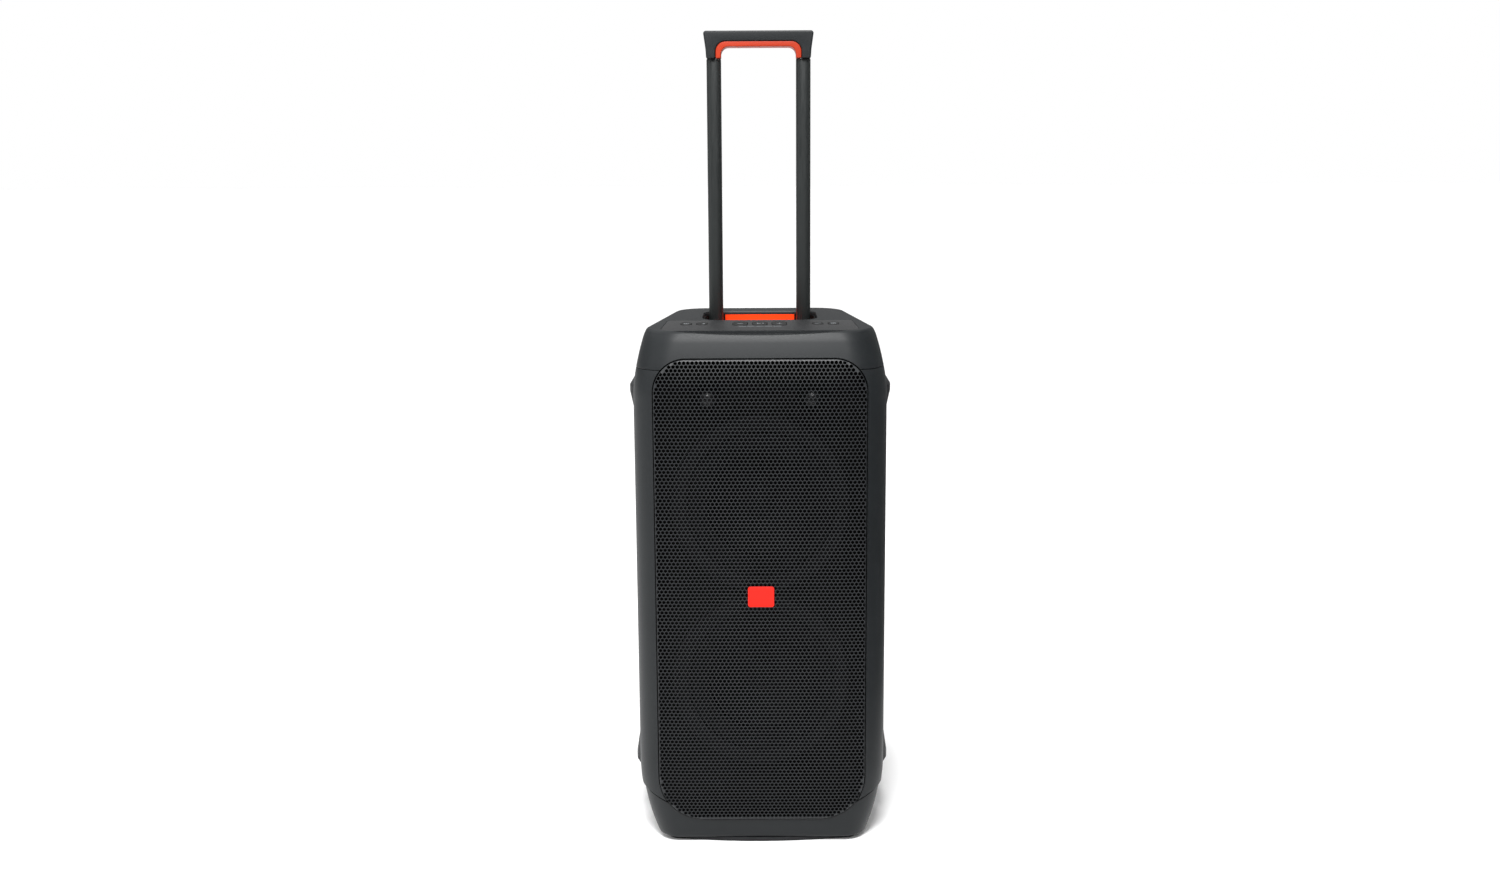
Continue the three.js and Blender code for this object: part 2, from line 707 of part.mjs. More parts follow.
// The grip's face: a bar that widens upwards, arched out below.
function gripOutline() {
  const { top, bottom, topWidth, bottomWidth } = HANDLE.grip;
  const { halfWidth, top: archTop, radius } = HANDLE.arch;
  const edge = 2;
  return roundedOutline([
    { x: -bottomWidth / 2, y: bottom, r: edge },
    { x: -halfWidth, y: bottom, r: edge },
    { x: -halfWidth, y: archTop, r: radius },
    { x: halfWidth, y: archTop, r: radius },
    { x: halfWidth, y: bottom, r: edge },
    { x: bottomWidth / 2, y: bottom, r: edge },
    { x: topWidth / 2, y: top, r: 2 * edge },
    { x: -topWidth / 2, y: top, r: 2 * edge },
  ]);
}

function archOutline() {
  const { halfWidth, top, band, radius } = HANDLE.arch;
  const { bottom } = HANDLE.grip;
  const outer = halfWidth - GAP;
  const inner = halfWidth - band;
  return roundedOutline([
    { x: -outer, y: bottom + 0.5, r: 0.8 },
    { x: -inner, y: bottom + 0.5, r: 0.8 },
    { x: -inner, y: top - band, r: radius - 3 },
    { x: inner, y: top - band, r: radius - 3 },
    { x: inner, y: bottom + 0.5, r: 0.8 },
    { x: outer, y: bottom + 0.5, r: 0.8 },
    { x: outer, y: top - GAP, r: radius },
    { x: -outer, y: top - GAP, r: radius },
  ]);
}

function handle() {
  const { y, grip, spigot } = HANDLE;
  const sockets = [-1, 1].map((side) =>
    prism(spigotOutline(side, GAP), spigot.above + OVERSHOOT + 2 * GAP, { z: grip.bottom - OVERSHOOT }),
  );
  const latchOutline = (grow) =>
    roundedRectangle(LATCH.width + 2 * grow, LATCH.depth + 2 * grow, LATCH.corner, 0, y);
  const latchSocket = prism(latchOutline(0.5), 2 * OVERSHOOT, {
    z: grip.top - LATCH.height - LATCH.travel - 0.5,
  });
  const bar = prismBack(gripOutline(), grip.depth, { y: y - grip.depth / 2, round: 1.6, steps: 2 });
  const liner = prismBack(archOutline(), grip.depth - 3, { y: y - grip.depth / 2 + 1.5, round: 0.6 });
  const latch = prism(latchOutline(0), LATCH.height, {
    z: grip.top - LATCH.height - GAP,
    round: 0.8,
  });
  return [
    piece("grip_shell", cut(bar, ...sockets, latchSocket), MATERIAL.casing),
    piece("grip_liner", liner, MATERIAL.orange),
    piece("latch_button", latch, MATERIAL.panel),
    handleTube("handle_tube_left", -1),
    handleTube("handle_tube_right", 1),
    guideTube("guide_tube_left", -1),
    guideTube("guide_tube_right", 1),
  ];
}

// ---------------------------------------------------------------- wheels

function wheel(name, side) {
  const { radius, width, rim, axle, x, y, z } = WHEEL;
  const half = width / 2;
  const rimProfile = [
    [axle + GAP, -half + 2], [14, -half + 2], [17, -half + 9], [rim - 8, -half + 9], [rim - 5, -half + 2],
    [rim, -half + 2], [rim, half - 2], [rim - 5, half - 2], [rim - 8, half - 7], [17, half - 7],
    [14, half - 2], [axle + GAP, half - 2],
  ];
  const tyreProfile = [
    [rim + GAP, -half + 1.5], [rim + 4, -half], [radius - 4, -half], [radius, -half + 5],
    [radius, half - 5], [radius - 4, half], [rim + 4, half], [rim + GAP, half - 1.5],
  ];
  const windows = Array.from({ length: 5 }, (_, i) =>
    cylinder(7, width * 2, 6).translate(25.5, 0, 0).rotateY((i * Math.PI) / 2.5),
  );
  return group(
    [
      piece(`${name}_rim`, cut(turned(rimProfile, 20), ...windows), MATERIAL.innerPlastic),
      piece(`${name}_tyre`, turned(tyreProfile, 28), MATERIAL.rubber),
    ],
    { position: [side * x, y, z], rotation: [0, 0, (-side * Math.PI) / 2] },
  );
}

function axle() {
  const rod = cylinder(WHEEL.axle, 2 * (WHEEL.x + WHEEL.width / 2) - 2, 20).rotateZ(Math.PI / 2);
  return piece("wheel_axle", rod.translate(0, WHEEL.y, WHEEL.z), MATERIAL.steel);
}

// ---------------------------------------------------------------- back

const BAY_FLOOR = CABINET.back - CABINET.wall - SOCKET_BAY.depth; // the y of the bay's floor

function socketBay() {
  const { width, height, corner, z, depth, wall, lip } = SOCKET_BAY;
  const plan = (grow) => roundedRectangle(width + 2 * grow, height + 2 * grow, corner + grow, 0, z);
  const tray = prismBack(plan(lip), depth + wall - GAP, { y: BAY_FLOOR - wall });
  const hollow = prismBack(plan(-1), depth + OVERSHOOT, { y: BAY_FLOOR });
  const bore = (radius, x, row = BAY_ROWS.z) =>
    cylinder(radius, 2 * OVERSHOOT, 16).translate(x, BAY_FLOOR, row);
  const { usb, aux } = DIGITAL;
  return cut(
    tray,
    hollow,
    ...BAY_ROWS.knobs.map((x) => bore(KNOB.shaft + GAP, x)),
    ...BAY_ROWS.jacks.map((x) => bore(JACK.barrel + GAP, x)),
    box(usb.width, 2 * OVERSHOOT, usb.height, usb.x, BAY_FLOOR, BAY_ROWS.digitalZ),
    bore(aux.radius, aux.x, BAY_ROWS.digitalZ),
  );
}

function gainKnob(name, x) {
  const { radius, length, shaft } = KNOB;
  const profile = [
    [0, -14], [shaft, -14], [shaft, 1], [radius, 1], [radius - 0.4, length - 1], [radius - 1.4, length],
    [0, length],
  ];
  const pointer = box(1.4, 2, radius + 2, 0, length, radius / 2);
  return group([piece(name, cut(turned(profile, 16), pointer), MATERIAL.panel)], {
    position: [x, BAY_FLOOR, BAY_ROWS.z],
  });
}

function jack(name, x) {
  const { nut, barrel, bore, length } = JACK;
  const profile = [
    [bore, -length], [barrel, -length], [barrel, GAP], [nut, GAP], [nut, 3], [bore, 3],
  ];
  return group([piece(name, turned(profile, 12), MATERIAL.steel)], {
    position: [x, BAY_FLOOR, BAY_ROWS.z],
  });
}

// A hinged rubber flap that fills an opening in the back wall.
function flap(name, { width, height, corner, z }) {
  const { thickness, gap, edge } = COVER;
  const outline = roundedRectangle(width - 2 * gap, height - 2 * gap, corner + 1, 0, z);
  const y = CABINET.back - thickness - GAP;
  return piece(name, prismBack(outline, thickness, { y, round: edge, steps: 2 }), MATERIAL.rubber);
}

function mainsInlet() {
  const { width, height, corner, z, depth, rim } = MAINS;
  const { floor, ...hole } = MAINS_SOCKET;
  const front = CABINET.back - CABINET.wall - GAP - depth;
  const plan = roundedRectangle(width + 2 * rim, height + 2 * rim, corner + 1, 0, z);
  const block = prismBack(plan, depth, { y: front });
  const socket = prismBack(roundedRectangle(hole.width, hole.height, hole.corner, 0, z), depth, {
    y: front + floor,
  });
  return piece("mains_inlet", cut(block, socket), MATERIAL.innerPlastic);
}

function portTube() {
  const { bore, wall, throat, mouth, length, z } = PORT;
  const profile = [
    [bore, -length], [bore + wall, -length], [bore + wall, -12], [throat, -7], [throat, GAP], [mouth, GAP],
    [mouth, 2.3], [mouth - 3, 2.3], [bore + 3.5, -2], [bore, -14],
  ];
  return group([piece("port_tube", turned(profile), MATERIAL.innerPlastic)], {
    position: [0, CABINET.back, z],
  });
}

function amplifierBoard() {
  const { width, height, thickness, y } = BOARD;
  const { x, base, fins, finPitch, finDepth } = HEATSINK;
  const z = SOCKET_BAY.z;
  // A block that stands on the board's front face, its far side depth away from the board's middle.
  const block = (blockX, blockWidth, depth, blockHeight) =>
    box(blockWidth, depth, blockHeight, blockX, y - depth / 2, z);
  const finRow = Array.from({ length: fins }, (_, i) =>
    block(x + (i - (fins - 1) / 2) * finPitch, 2, finDepth, HEATSINK.height),
  );
  const parts = [
    block(x, HEATSINK.width, base, HEATSINK.height),
    ...finRow,
    block(SUPPLY.x, SUPPLY.width, SUPPLY.depth, SUPPLY.height),
  ];
  const board = join(box(width, thickness, height, 0, y, z), ...parts);
  return piece("amplifier_board", board, MATERIAL.board);
}

function batteryPack() {
  const { width, depth, height, corner, y } = BATTERY;
  const z = CABINET.bottom + CABINET.wall + GAP;
  const cells = prism(roundedRectangle(width, depth, corner, 0, y), height, { z, round: 2 });
  return piece("battery_pack", cells, MATERIAL.battery);
}

// ---------------------------------------------------------------- assembly

const speaker = new THREE.Group();
speaker.add(
  ...cabinetPieces(),
  ...bumpers(),
  ...feet(),
  baffle(),
  grille(),
  badge(),
  woofer("lower_woofer", WOOFER.heights.lower),
  woofer("upper_woofer", WOOFER.heights.upper),
  lightRing("lower_light_ring", WOOFER.heights.lower),
  lightRing("upper_light_ring", WOOFER.heights.upper),
  tweeter("left_tweeter", -1),
  tweeter("right_tweeter", 1),
  controlPanel(),
  ...handle(),
  wheel("left_wheel", -1),
  wheel("right_wheel", 1),
  axle(),
  piece("socket_bay", socketBay(), MATERIAL.innerPlastic),
  gainKnob("mic_gain_knob", BAY_ROWS.knobs[0]),
  gainKnob("guitar_gain_knob", BAY_ROWS.knobs[1]),
  jack("mic_jack", BAY_ROWS.jacks[0]),
  jack("guitar_jack", BAY_ROWS.jacks[1]),
  flap("socket_cover", SOCKET_BAY),
  mainsInlet(),
  flap("mains_cover", MAINS),
  portTube(),
  amplifierBoard(),
  batteryPack(),
);

export default speaker;
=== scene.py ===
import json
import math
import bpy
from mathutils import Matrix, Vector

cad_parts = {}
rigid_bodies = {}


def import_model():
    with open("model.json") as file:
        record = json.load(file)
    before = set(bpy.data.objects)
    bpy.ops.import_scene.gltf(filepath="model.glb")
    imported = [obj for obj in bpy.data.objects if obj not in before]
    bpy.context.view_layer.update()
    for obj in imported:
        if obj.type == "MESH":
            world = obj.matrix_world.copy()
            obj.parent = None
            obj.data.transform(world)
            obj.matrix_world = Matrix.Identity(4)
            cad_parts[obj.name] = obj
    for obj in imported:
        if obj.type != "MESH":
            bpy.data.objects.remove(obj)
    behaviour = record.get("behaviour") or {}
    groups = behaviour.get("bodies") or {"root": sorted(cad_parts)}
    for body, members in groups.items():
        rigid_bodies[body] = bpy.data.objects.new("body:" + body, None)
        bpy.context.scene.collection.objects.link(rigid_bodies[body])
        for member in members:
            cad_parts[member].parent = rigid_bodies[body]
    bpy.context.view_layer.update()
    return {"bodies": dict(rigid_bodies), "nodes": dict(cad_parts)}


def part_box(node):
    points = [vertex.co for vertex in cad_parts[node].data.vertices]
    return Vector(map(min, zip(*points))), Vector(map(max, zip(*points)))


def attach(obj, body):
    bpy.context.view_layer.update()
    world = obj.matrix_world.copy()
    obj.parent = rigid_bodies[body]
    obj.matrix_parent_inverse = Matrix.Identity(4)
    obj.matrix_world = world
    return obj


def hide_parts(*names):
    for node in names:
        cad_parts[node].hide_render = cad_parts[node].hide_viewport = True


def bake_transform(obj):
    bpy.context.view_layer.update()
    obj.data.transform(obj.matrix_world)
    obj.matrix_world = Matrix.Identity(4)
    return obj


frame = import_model()

# The finished looks of a trolley party speaker, built round its fixed CAD frame.
# Sizes are millimetres until a mesh is made; +Z is up and the front faces -Y.
from types import SimpleNamespace as Sizes

import bmesh
import bpy
import numpy as np
from mathutils import Matrix, Vector, geometry

MM = 0.001
GAP = 0.3  # between a piece and the one it fits into
REACH = 400  # longer than any wall, for tools that cut right through
CUT = 20  # how far a tool starts and ends clear of the surface it cuts
PRINT = 0.12  # thickness of printed marks
ROUND_END = 0.42  # corner radius of the tubes and keys, as a share of their width
PLAN_STEPS = 14  # points round each corner of the cabinet and its front opening
SIDES = {"left": -1, "right": 1}

# ---- driving dimensions

CABINET = Sizes(half=159, front=-179.5, back=136, bottom=6, top=670, wall=4, front_radius=46,
                back_radius=40, upper_seam=621, slope=0.018, slope_axis=-35, top_edge=5)
LOWER_SEAM = Sizes(middle=56, ends=74.5, start=114, end=156, step=2.5, gap=1.3)
LOWER_TAPER = dict(start=108, length=108, power=2, sides=24, back_sides=24, front=15, back=22, corner=18)
UPPER_TAPER = dict(start=590, length=82, power=1.5, sides=9, back_sides=51, front=21, back=36, corner=0)

WINDOW = Sizes(half=133, bottom=33.5, top=635.5, top_radius=41, bottom_radius=61)
GRILLE = Sizes(front=-181.5, foot=-160.3, sheet=1.3, roll_width=1.2, roll_depth=1, crown=1.5,
               crown_width=36, pitch=5.2, hole=0.81, border=0.35, gap=1.5)
BADGE = Sizes(width=33, height=26.5, corner=3.2, z=336, back=-181.8, front=-183.5)

WOOFER_HEIGHTS = {"lower": 221, "upper": 451}
BAFFLE_FRONT = -160
TWEETER = Sizes(x=65, z=582)

PANEL = Sizes(front_half=124, back_half=120, front=-152.5, back=-46, corner=20, back_corner=8, thickness=4)
CRESCENT = Sizes(half=113, drop=5)
LARGE_KEY = Sizes(width=19, length=38)
SMALL_KEY = Sizes(width=14, length=24)
# lamps: how far in front of the keys the row of charge lamps stands; their light grey also paints a
# reflection there.
KEY = Sizes(y=-84, proud=0.8, height=7, lamps=27)

POCKET = Sizes(half=75.5, front=-42.5, back=61.5, floor=636, depth=31, wall=2.5, corner=24, liner_half=47.2)
TUBE = Sizes(x=58.5, y=22.5, width=19, depth=22, bottom=570, top=1004.7, spigot=1016, shoulder=6)
GRIP = Sizes(top=1040, bottom=1005, top_width=144, bottom_width=136, depth=34)
ARCH = Sizes(half=56, top=1027, band=7, radius=13)
LATCH = Sizes(width=42, depth=15, height=8, corner=6, travel=3)

WHEEL = Sizes(x=133, y=128.5, z=57, radius=55, width=34, rim=43, axle=5, well=60, well_inner=107)
FOOT = Sizes(depth=30, height=5.7, corner=6)
FEET = {
    "foot_front": Sizes(width=244, y=-149.5, front_corner=12, bow=12),
    "foot_back": Sizes(width=150, y=82, front_corner=6, bow=0),
}
BUMPER = Sizes(proud=8, length=150, y=-35, steep=9, crest=8, nose=2, toe=3.5)
BUMPER_ENDS = {"upper": Sizes(z=602, way=-1, taper=19), "lower": Sizes(z=80, way=1, taper=29)}

BAY = Sizes(width=170, height=84, corner=3, z=542, floor=110)
INPUTS = dict(z=548, mic_gain=-58, mic_jack=-28, guitar_gain=18, guitar_jack=48)
MAINS = Sizes(width=36, height=30, corner=3, z=130)
COVER = Sizes(thickness=3, gap=0.8)
PORT = Sizes(bore=30, wall=2.5, throat=35.7, mouth=42, length=108, z=400)
SCREWS = Sizes(x=104, lowest=150, highest=600, pitch=112, sunk=0.6)
CAMERA = Sizes(place=(0, -2.0155, 0.869), lens=36.35, sensor=36, shift=-0.0069, down=10.3, roll=-0.28)

# ---- outlines and meshes


def rounded_outline(corners, steps=8, straight=0):
    """Points round a closed outline, from anticlockwise (x, y, radius) corners."""
    arcs = []
    for i, (x, y, r) in enumerate(corners):
        corner = Vector((x, y))
        back = (Vector(corners[i - 1][:2]) - corner).normalized()
        on = (Vector(corners[(i + 1) % len(corners)][:2]) - corner).normalized()
        half = back.angle(on) / 2
        centre = corner + (back + on).normalized() * (r / math.sin(half))
        arm = corner + back * (r / math.tan(half)) - centre
        hollow = back.x * on.y - back.y * on.x > 0
        turn = (2 * half - math.pi) if hollow else (math.pi - 2 * half)
        turns = [Matrix.Rotation(turn * k / steps, 2) for k in range(steps + 1)]
        arcs.append([centre + spin @ arm for spin in turns])
    points = []
    for i, arc in enumerate(arcs):
        points += arc
        start, end = arc[-1], arcs[(i + 1) % len(arcs)][0]
        points += [start.lerp(end, (k + 1) / (straight + 1)) for k in range(straight)]
    return np.array([tuple(p) for p in points])


def symmetrical(low, high, steps, straight=0):
    """A four-cornered outline about x = 0, from the half width, y and radius at its low and high side."""
    corners = [(-low[0], *low[1:]), low, high, (-high[0], *high[1:])]
    return rounded_outline(corners, steps, straight)


def rounded_rectangle(width, height, radius, x=0, y=0, steps=8):
    """A rectangle's outline, as a function of how far it is grown outwards."""

    def outline(grow=0.0):
        w, h, r = width / 2 + grow, height / 2 + grow, max(radius + grow, 0.2)
        corners = [(x - w, y - h, r), (x + w, y - h, r), (x + w, y + h, r), (x - w, y + h, r)]
        return rounded_outline(corners, steps)

    return outline


def level(points, z):
    """A flat ring of 2-D points at height z."""
    return np.column_stack([points, np.full(len(points), float(z))])


def quarter_bend(radius, steps, count):
    """Up a rounded rim: how far it has risen, and how far it is still tucked in."""
    angles = [k / steps * math.pi / 2 for k in range(count)]
    return [(radius * (1 - math.cos(a)), radius * (1 - math.sin(a))) for a in angles]


def rounded_stack(outline, low, high, low_round=0.0, high_round=0.0):
    """Rings for a block with rounded rims: outline(grow) between two heights."""
    rounds = (low_round, high_round)
    lower, upper = (quarter_bend(radius, 5, 6) if radius else [(0.0, 0.0)] for radius in rounds)
    rings = [level(outline(-tuck), low + rise) for rise, tuck in lower]
    return rings + [level(outline(-tuck), high - rise) for rise, tuck in reversed(upper)]


def dished(outline, top, dips):
    """Rings of a hollow in a top, from pairs of how far in and how deep."""
    return [level(outline(-inset), top - dip) for inset, dip in dips]


def skin(rings, looped=False):
    """Vertices and faces of a solid skinned over rings of equal point count."""
    count = len(rings[0])
    last = len(rings) if looped else len(rings) - 1
    faces = []
    for row in range(last):
        a, b = row * count, (row + 1) % len(rings) * count
        for i in range(count):
            j = (i + 1) % count
            faces.append((a + i, a + j, b + j, b + i))
    if not looped:
        faces.append(tuple(reversed(range(count))))
        faces.append(tuple(range(last * count, last * count + count)))
    return np.vstack(rings), faces


def turned(profile, segments=96, wobble=None):
    """Rings of a solid of revolution about +Z from (radius, height) points."""
    angles = np.arange(segments) / segments * 2 * math.pi
    rings = []
    for r, h in profile:
        radii = np.full(segments, float(r)) if wobble is None else wobble(r, h, angles)
        rings.append(level(np.column_stack([radii * np.cos(angles), radii * np.sin(angles)]), h))
    return rings


def arc(centre, radius, start, end, steps=8):
    """Profile points along an arc, with angles in degrees."""
    angles = np.radians(np.linspace(start, end, steps + 1))
    return [(centre[0] + radius * math.cos(a), centre[1] + radius * math.sin(a)) for a in angles]


def shade(mesh, sharp_degrees):
    """Smooth shading, with edges sharper than the limit kept crisp."""
    bm = bmesh.new()
    bm.from_mesh(mesh)
    bmesh.ops.remove_doubles(bm, verts=bm.verts, dist=1e-7)
    bmesh.ops.dissolve_degenerate(bm, edges=bm.edges, dist=1e-7)
    for face in bm.faces:
        face.smooth = True
    for edge in bm.edges:
        angle = edge.calc_face_angle(0) if len(edge.link_faces) == 2 else math.pi
        edge.smooth = angle < math.radians(sharp_degrees)
    bm.to_mesh(mesh)
    bm.free()


def linked(name, data):
    """A new object in the scene."""
    made = bpy.data.objects.new(name, data)
    bpy.context.scene.collection.objects.link(made)
    return made


def as_object(name, vertices, faces, place=None, recalculate=True):
    """A mesh object from millimetre vertices, moved by the matrix place."""
    mesh = bpy.data.meshes.new(name)
    points = np.asarray(vertices, float)
    if place is not None:
        turn = np.array(place, float)
        points = points @ turn[:3, :3].T + turn[:3, 3]
    mesh.from_pydata((points * MM).tolist(), [], [tuple(map(int, f)) for f in faces])
    if recalculate:
        bm = bmesh.new()
        bm.from_mesh(mesh)
        bmesh.ops.remove_doubles(bm, verts=bm.verts, dist=1e-7)
        bmesh.ops.recalc_face_normals(bm, faces=bm.faces)
        bm.to_mesh(mesh)
        bm.free()
    return linked(name, mesh)


def block(name, rings, place=None, looped=False):
    """An unfinished solid skinned over rings."""
    return as_object(name, *skin(rings, looped), place)


def tool(rings, place=None):
    """A solid that only cuts or joins another one."""
    return block("tool", rings, place)


def prism(outline, low, high, place=None):
    """A straight-sided tool between two heights."""
    return tool([level(outline, low), level(outline, high)], place)


def combine(made, tools, operation="DIFFERENCE"):
    """Cuts the tools from a solid, or joins them to it, and removes the tools."""
    for cutter in tools:
        modifier = made.modifiers.new("combine", "BOOLEAN")
        modifier.operation = operation
        modifier.solver = "EXACT"
        modifier.object = cutter
    bpy.context.view_layer.update()
    whole = made.evaluated_get(bpy.context.evaluated_depsgraph_get())
    mesh = bpy.data.meshes.new_from_object(whole)
    made.modifiers.clear()
    made.data = mesh
    for cutter in tools:
        bpy.data.objects.remove(cutter)


def dress(made, look):
    """Gives an object one of the looks."""
    made.data.materials.clear()
    made.data.materials.append(LOOKS[look])


def finish_piece(made, look, body="cabinet", node=None, sharp=34):
    """Shades and dresses a piece that rides on a CAD body and may stand for a CAD node."""
    shade(made.data, sharp)
    dress(made, look)
    if body:
        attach(made, body)
    if node:
        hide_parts(node)


def solid(name, rings, look, place=None, looped=False, cutters=(), **options):
    """A finished piece skinned over rings, with optional cutters taken out of it."""
    made = block(name, rings, place, looped)
    if cutters:
        combine(made, cutters)
    finish_piece(made, look, **options)


def lathe(name, profile, look, place, segments=96, wobble=None, **options):
    """A finished piece turned from a closed profile of (radius, height) points."""
    solid(name, turned(profile, segments, wobble), look, place, looped=True, **options)


# Turns work drawn flat in XY, rising along +Z.
FORWARD = Matrix(((1, 0, 0, 0), (0, 0, -1, 0), (0, 1, 0, 0), (0, 0, 0, 1)))  # Z becomes -Y
REARWARD = Matrix(((-1, 0, 0, 0), (0, 0, 1, 0), (0, 1, 0, 0), (0, 0, 0, 1)))  # Z becomes +Y


def at(x, y, z, turn=Matrix.Identity(4)):
    """A placing matrix that turns first and then moves."""
    return Matrix.Translation((x, y, z)) @ turn


def top_at(y):
    """The height of the sloping top."""
    return CABINET.top + CABINET.slope * (y - CABINET.slope_axis)


ON_TOP = at(0, 0, top_at(0), Matrix.Rotation(math.atan(CABINET.slope), 4, "X"))
ON_BACK = at(0, CABINET.back, 0, REARWARD)
ON_COVERS = at(0, CABINET.back - COVER.thickness - GAP, 0, REARWARD)

# ---- materials


def linear(hex_colour):
    """Scene-linear values of an #rrggbb colour."""
    parts = [int(hex_colour[i : i + 2], 16) / 255 for i in (1, 3, 5)]
    return [p / 12.92 if p <= 0.04045 else ((p + 0.055) / 1.055) ** 2.4 for p in parts]


def add_node(tree, kind, inputs, output, **settings):
    """Adds a shader node, links or sets its inputs, and returns one of its outputs."""
    node = tree.nodes.new("ShaderNode" + kind)
    for name, value in settings.items():
        setattr(node, name, value)
    for name, value in inputs.items():
        if isinstance(value, bpy.types.NodeSocket):
            tree.links.new(value, node.inputs[name])
        else:
            node.inputs[name].default_value = value
    return node.outputs[output]


class Shader:
    """A Principled material with short ways to add noise, drifting colour and relief."""

    def __init__(self, name, hex_colour, roughness, metallic=0.0):
        self.material = bpy.data.materials.new(name)
        self.material.use_nodes = True
        self.tree = self.material.node_tree
        self.surface = self.tree.nodes["Principled BSDF"]
        self.colour = (*linear(hex_colour), 1)
        self.set(Base_Color=self.colour, Roughness=roughness, Metallic=metallic)
        self.place = add_node(self.tree, "TexCoord", {}, "Object")

    def stretched(self, scale):
        """Coordinates scaled apart along the axes, for brushed or drawn surfaces."""
        return add_node(self.tree, "Mapping", {"Scale": scale, "Vector": self.place}, "Vector")

    def noise(self, size, detail=3.0, place=None):
        """Noise whose blobs are size millimetres across, as a 0 to 1 value."""
        inputs = {"Scale": 1 / (size * MM), "Detail": detail, "Vector": place or self.place}
        return add_node(self.tree, "TexNoise", inputs, "Fac")

    def cells(self, size):
        """Rounded cells size millimetres across, as the distance from their centres."""
        inputs = {"Scale": 1 / (size * MM), "Vector": self.place}
        return add_node(self.tree, "TexVoronoi", inputs, "Distance")

    def remap(self, value, low, high, start=0.3, end=0.7):
        """The value stretched so that start becomes low and end becomes high."""
        inputs = {"Value": value, "From Min": start, "From Max": end, "To Min": low, "To Max": high}
        return add_node(self.tree, "MapRange", inputs, "Result")

    def drive(self, name, value):
        """Links a value to one of the surface's inputs."""
        self.tree.links.new(value, self.surface.inputs[name])

    def vary_colour(self, value, amount, other=None):
        """Lets the colour drift with a 0 to 1 value, towards a second colour if one is given."""
        low, high = ([min(1, c * (1 + way * amount)) for c in self.colour[:3]] + [1] for way in (-1, 1))
        inputs = {"A": low, "B": (*linear(other), 1) if other else high, "Factor": value}
        self.drive("Base Color", add_node(self.tree, "Mix", inputs, "Result", data_type="RGBA"))

    def vary_roughness(self, value, low, high):
        """Lets the roughness drift between two values."""
        self.drive("Roughness", self.remap(value, low, high))

    def bump(self, value, depth, rounding=0.0):
        """Relief depth millimetres high; rounding softens hard edges by that many millimetres."""
        inputs = {"Distance": depth * MM, "Height": value}
        if rounding:
            inputs["Normal"] = add_node(self.tree, "Bevel", {"Radius": rounding * MM}, "Normal", samples=4)
        self.drive("Normal", add_node(self.tree, "Bump", inputs, "Normal"))

    def set(self, **values):
        """Sets inputs of the surface, and returns the material."""
        for name, value in values.items():
            self.surface.inputs[name.replace("_", " ")].default_value = value
        return self.material


def moulded(name, colour, roughness, grain=0.55, relief=0.05, rounding=0.0, shine=0.5):
    """Spark-textured plastic: fine grain, faint flow marks, and a slightly uneven sheen."""
    shader = Shader(name, colour, roughness)
    grains = shader.noise(grain, 2)
    drift = shader.noise(70, 2)
    shader.vary_colour(shader.remap(drift, 0, 1), 0.07)
    shader.vary_roughness(grains, roughness - 0.07, roughness + 0.07)
    shader.bump(grains, relief, rounding)
    return shader.set(IOR=1.5, Specular_IOR_Level=shine)


def rubbery(name, colour, roughness=0.72, shine=0.3):
    """Moulded rubber: soft pebbled skin with a dusty bloom."""
    shader = Shader(name, colour, roughness)
    shader.vary_colour(shader.remap(shader.noise(18), 0, 1), 0.16)
    shader.vary_roughness(shader.noise(6), roughness - 0.08, roughness + 0.1)
    shader.bump(shader.cells(0.7), 0.06)
    return shader.set(Specular_IOR_Level=shine)


def powder_coated(name, colour, roughness=0.42, metallic=0.0, rounding=0.0, shine=0.5):
    """Baked powder coat: a shallow orange-peel skin."""
    shader = Shader(name, colour, roughness, metallic)
    peel = shader.noise(0.9, 1)
    shader.vary_colour(shader.remap(shader.noise(40), 0, 1), 0.08)
    shader.vary_roughness(peel, roughness - 0.06, roughness + 0.08)
    shader.bump(peel, 0.03, rounding)
    return shader.set(IOR=1.5, Specular_IOR_Level=shine)


def drawn_metal(name, colour, roughness, metallic, axis):
    """Drawn tube or turned steel, with fine lines along one axis."""
    shader = Shader(name, colour, roughness, metallic)
    scale = [1.0, 1.0, 1.0]
    scale[axis] = 0.02
    lines = shader.noise(0.5, 2, shader.stretched(scale))
    shader.vary_colour(shader.remap(lines, 0, 1), 0.06)
    shader.vary_roughness(lines, roughness - 0.08, roughness + 0.1)
    shader.bump(lines, 0.01)
    return shader.set(IOR=1.5)


def clouded(name, colour, roughness, cloud, drift, sheen, relief, shine, metallic=0.0):
    """A skin whose colour, sheen and relief follow one noise, given as its size and detail."""
    shader = Shader(name, colour, roughness, metallic)
    noise = shader.noise(*cloud)
    shader.vary_colour(noise, drift)
    shader.vary_roughness(noise, *sheen)
    shader.bump(noise, relief)
    return shader.set(Specular_IOR_Level=shine)


def circuit_board(name):
    """Solder mask over tracks, with lighter copper runs showing through."""
    shader = Shader(name, "#1c5533", 0.4)
    tracks = shader.noise(2.4, 0, shader.stretched((1, 1, 0.25)))
    shader.vary_colour(shader.remap(tracks, 0, 1, 0.47, 0.53), 0.3, other="#3f8a58")
    shader.vary_roughness(tracks, 0.3, 0.5)
    shader.bump(tracks, 0.05, 0.4)
    return shader.set(Coat_Weight=0.3)


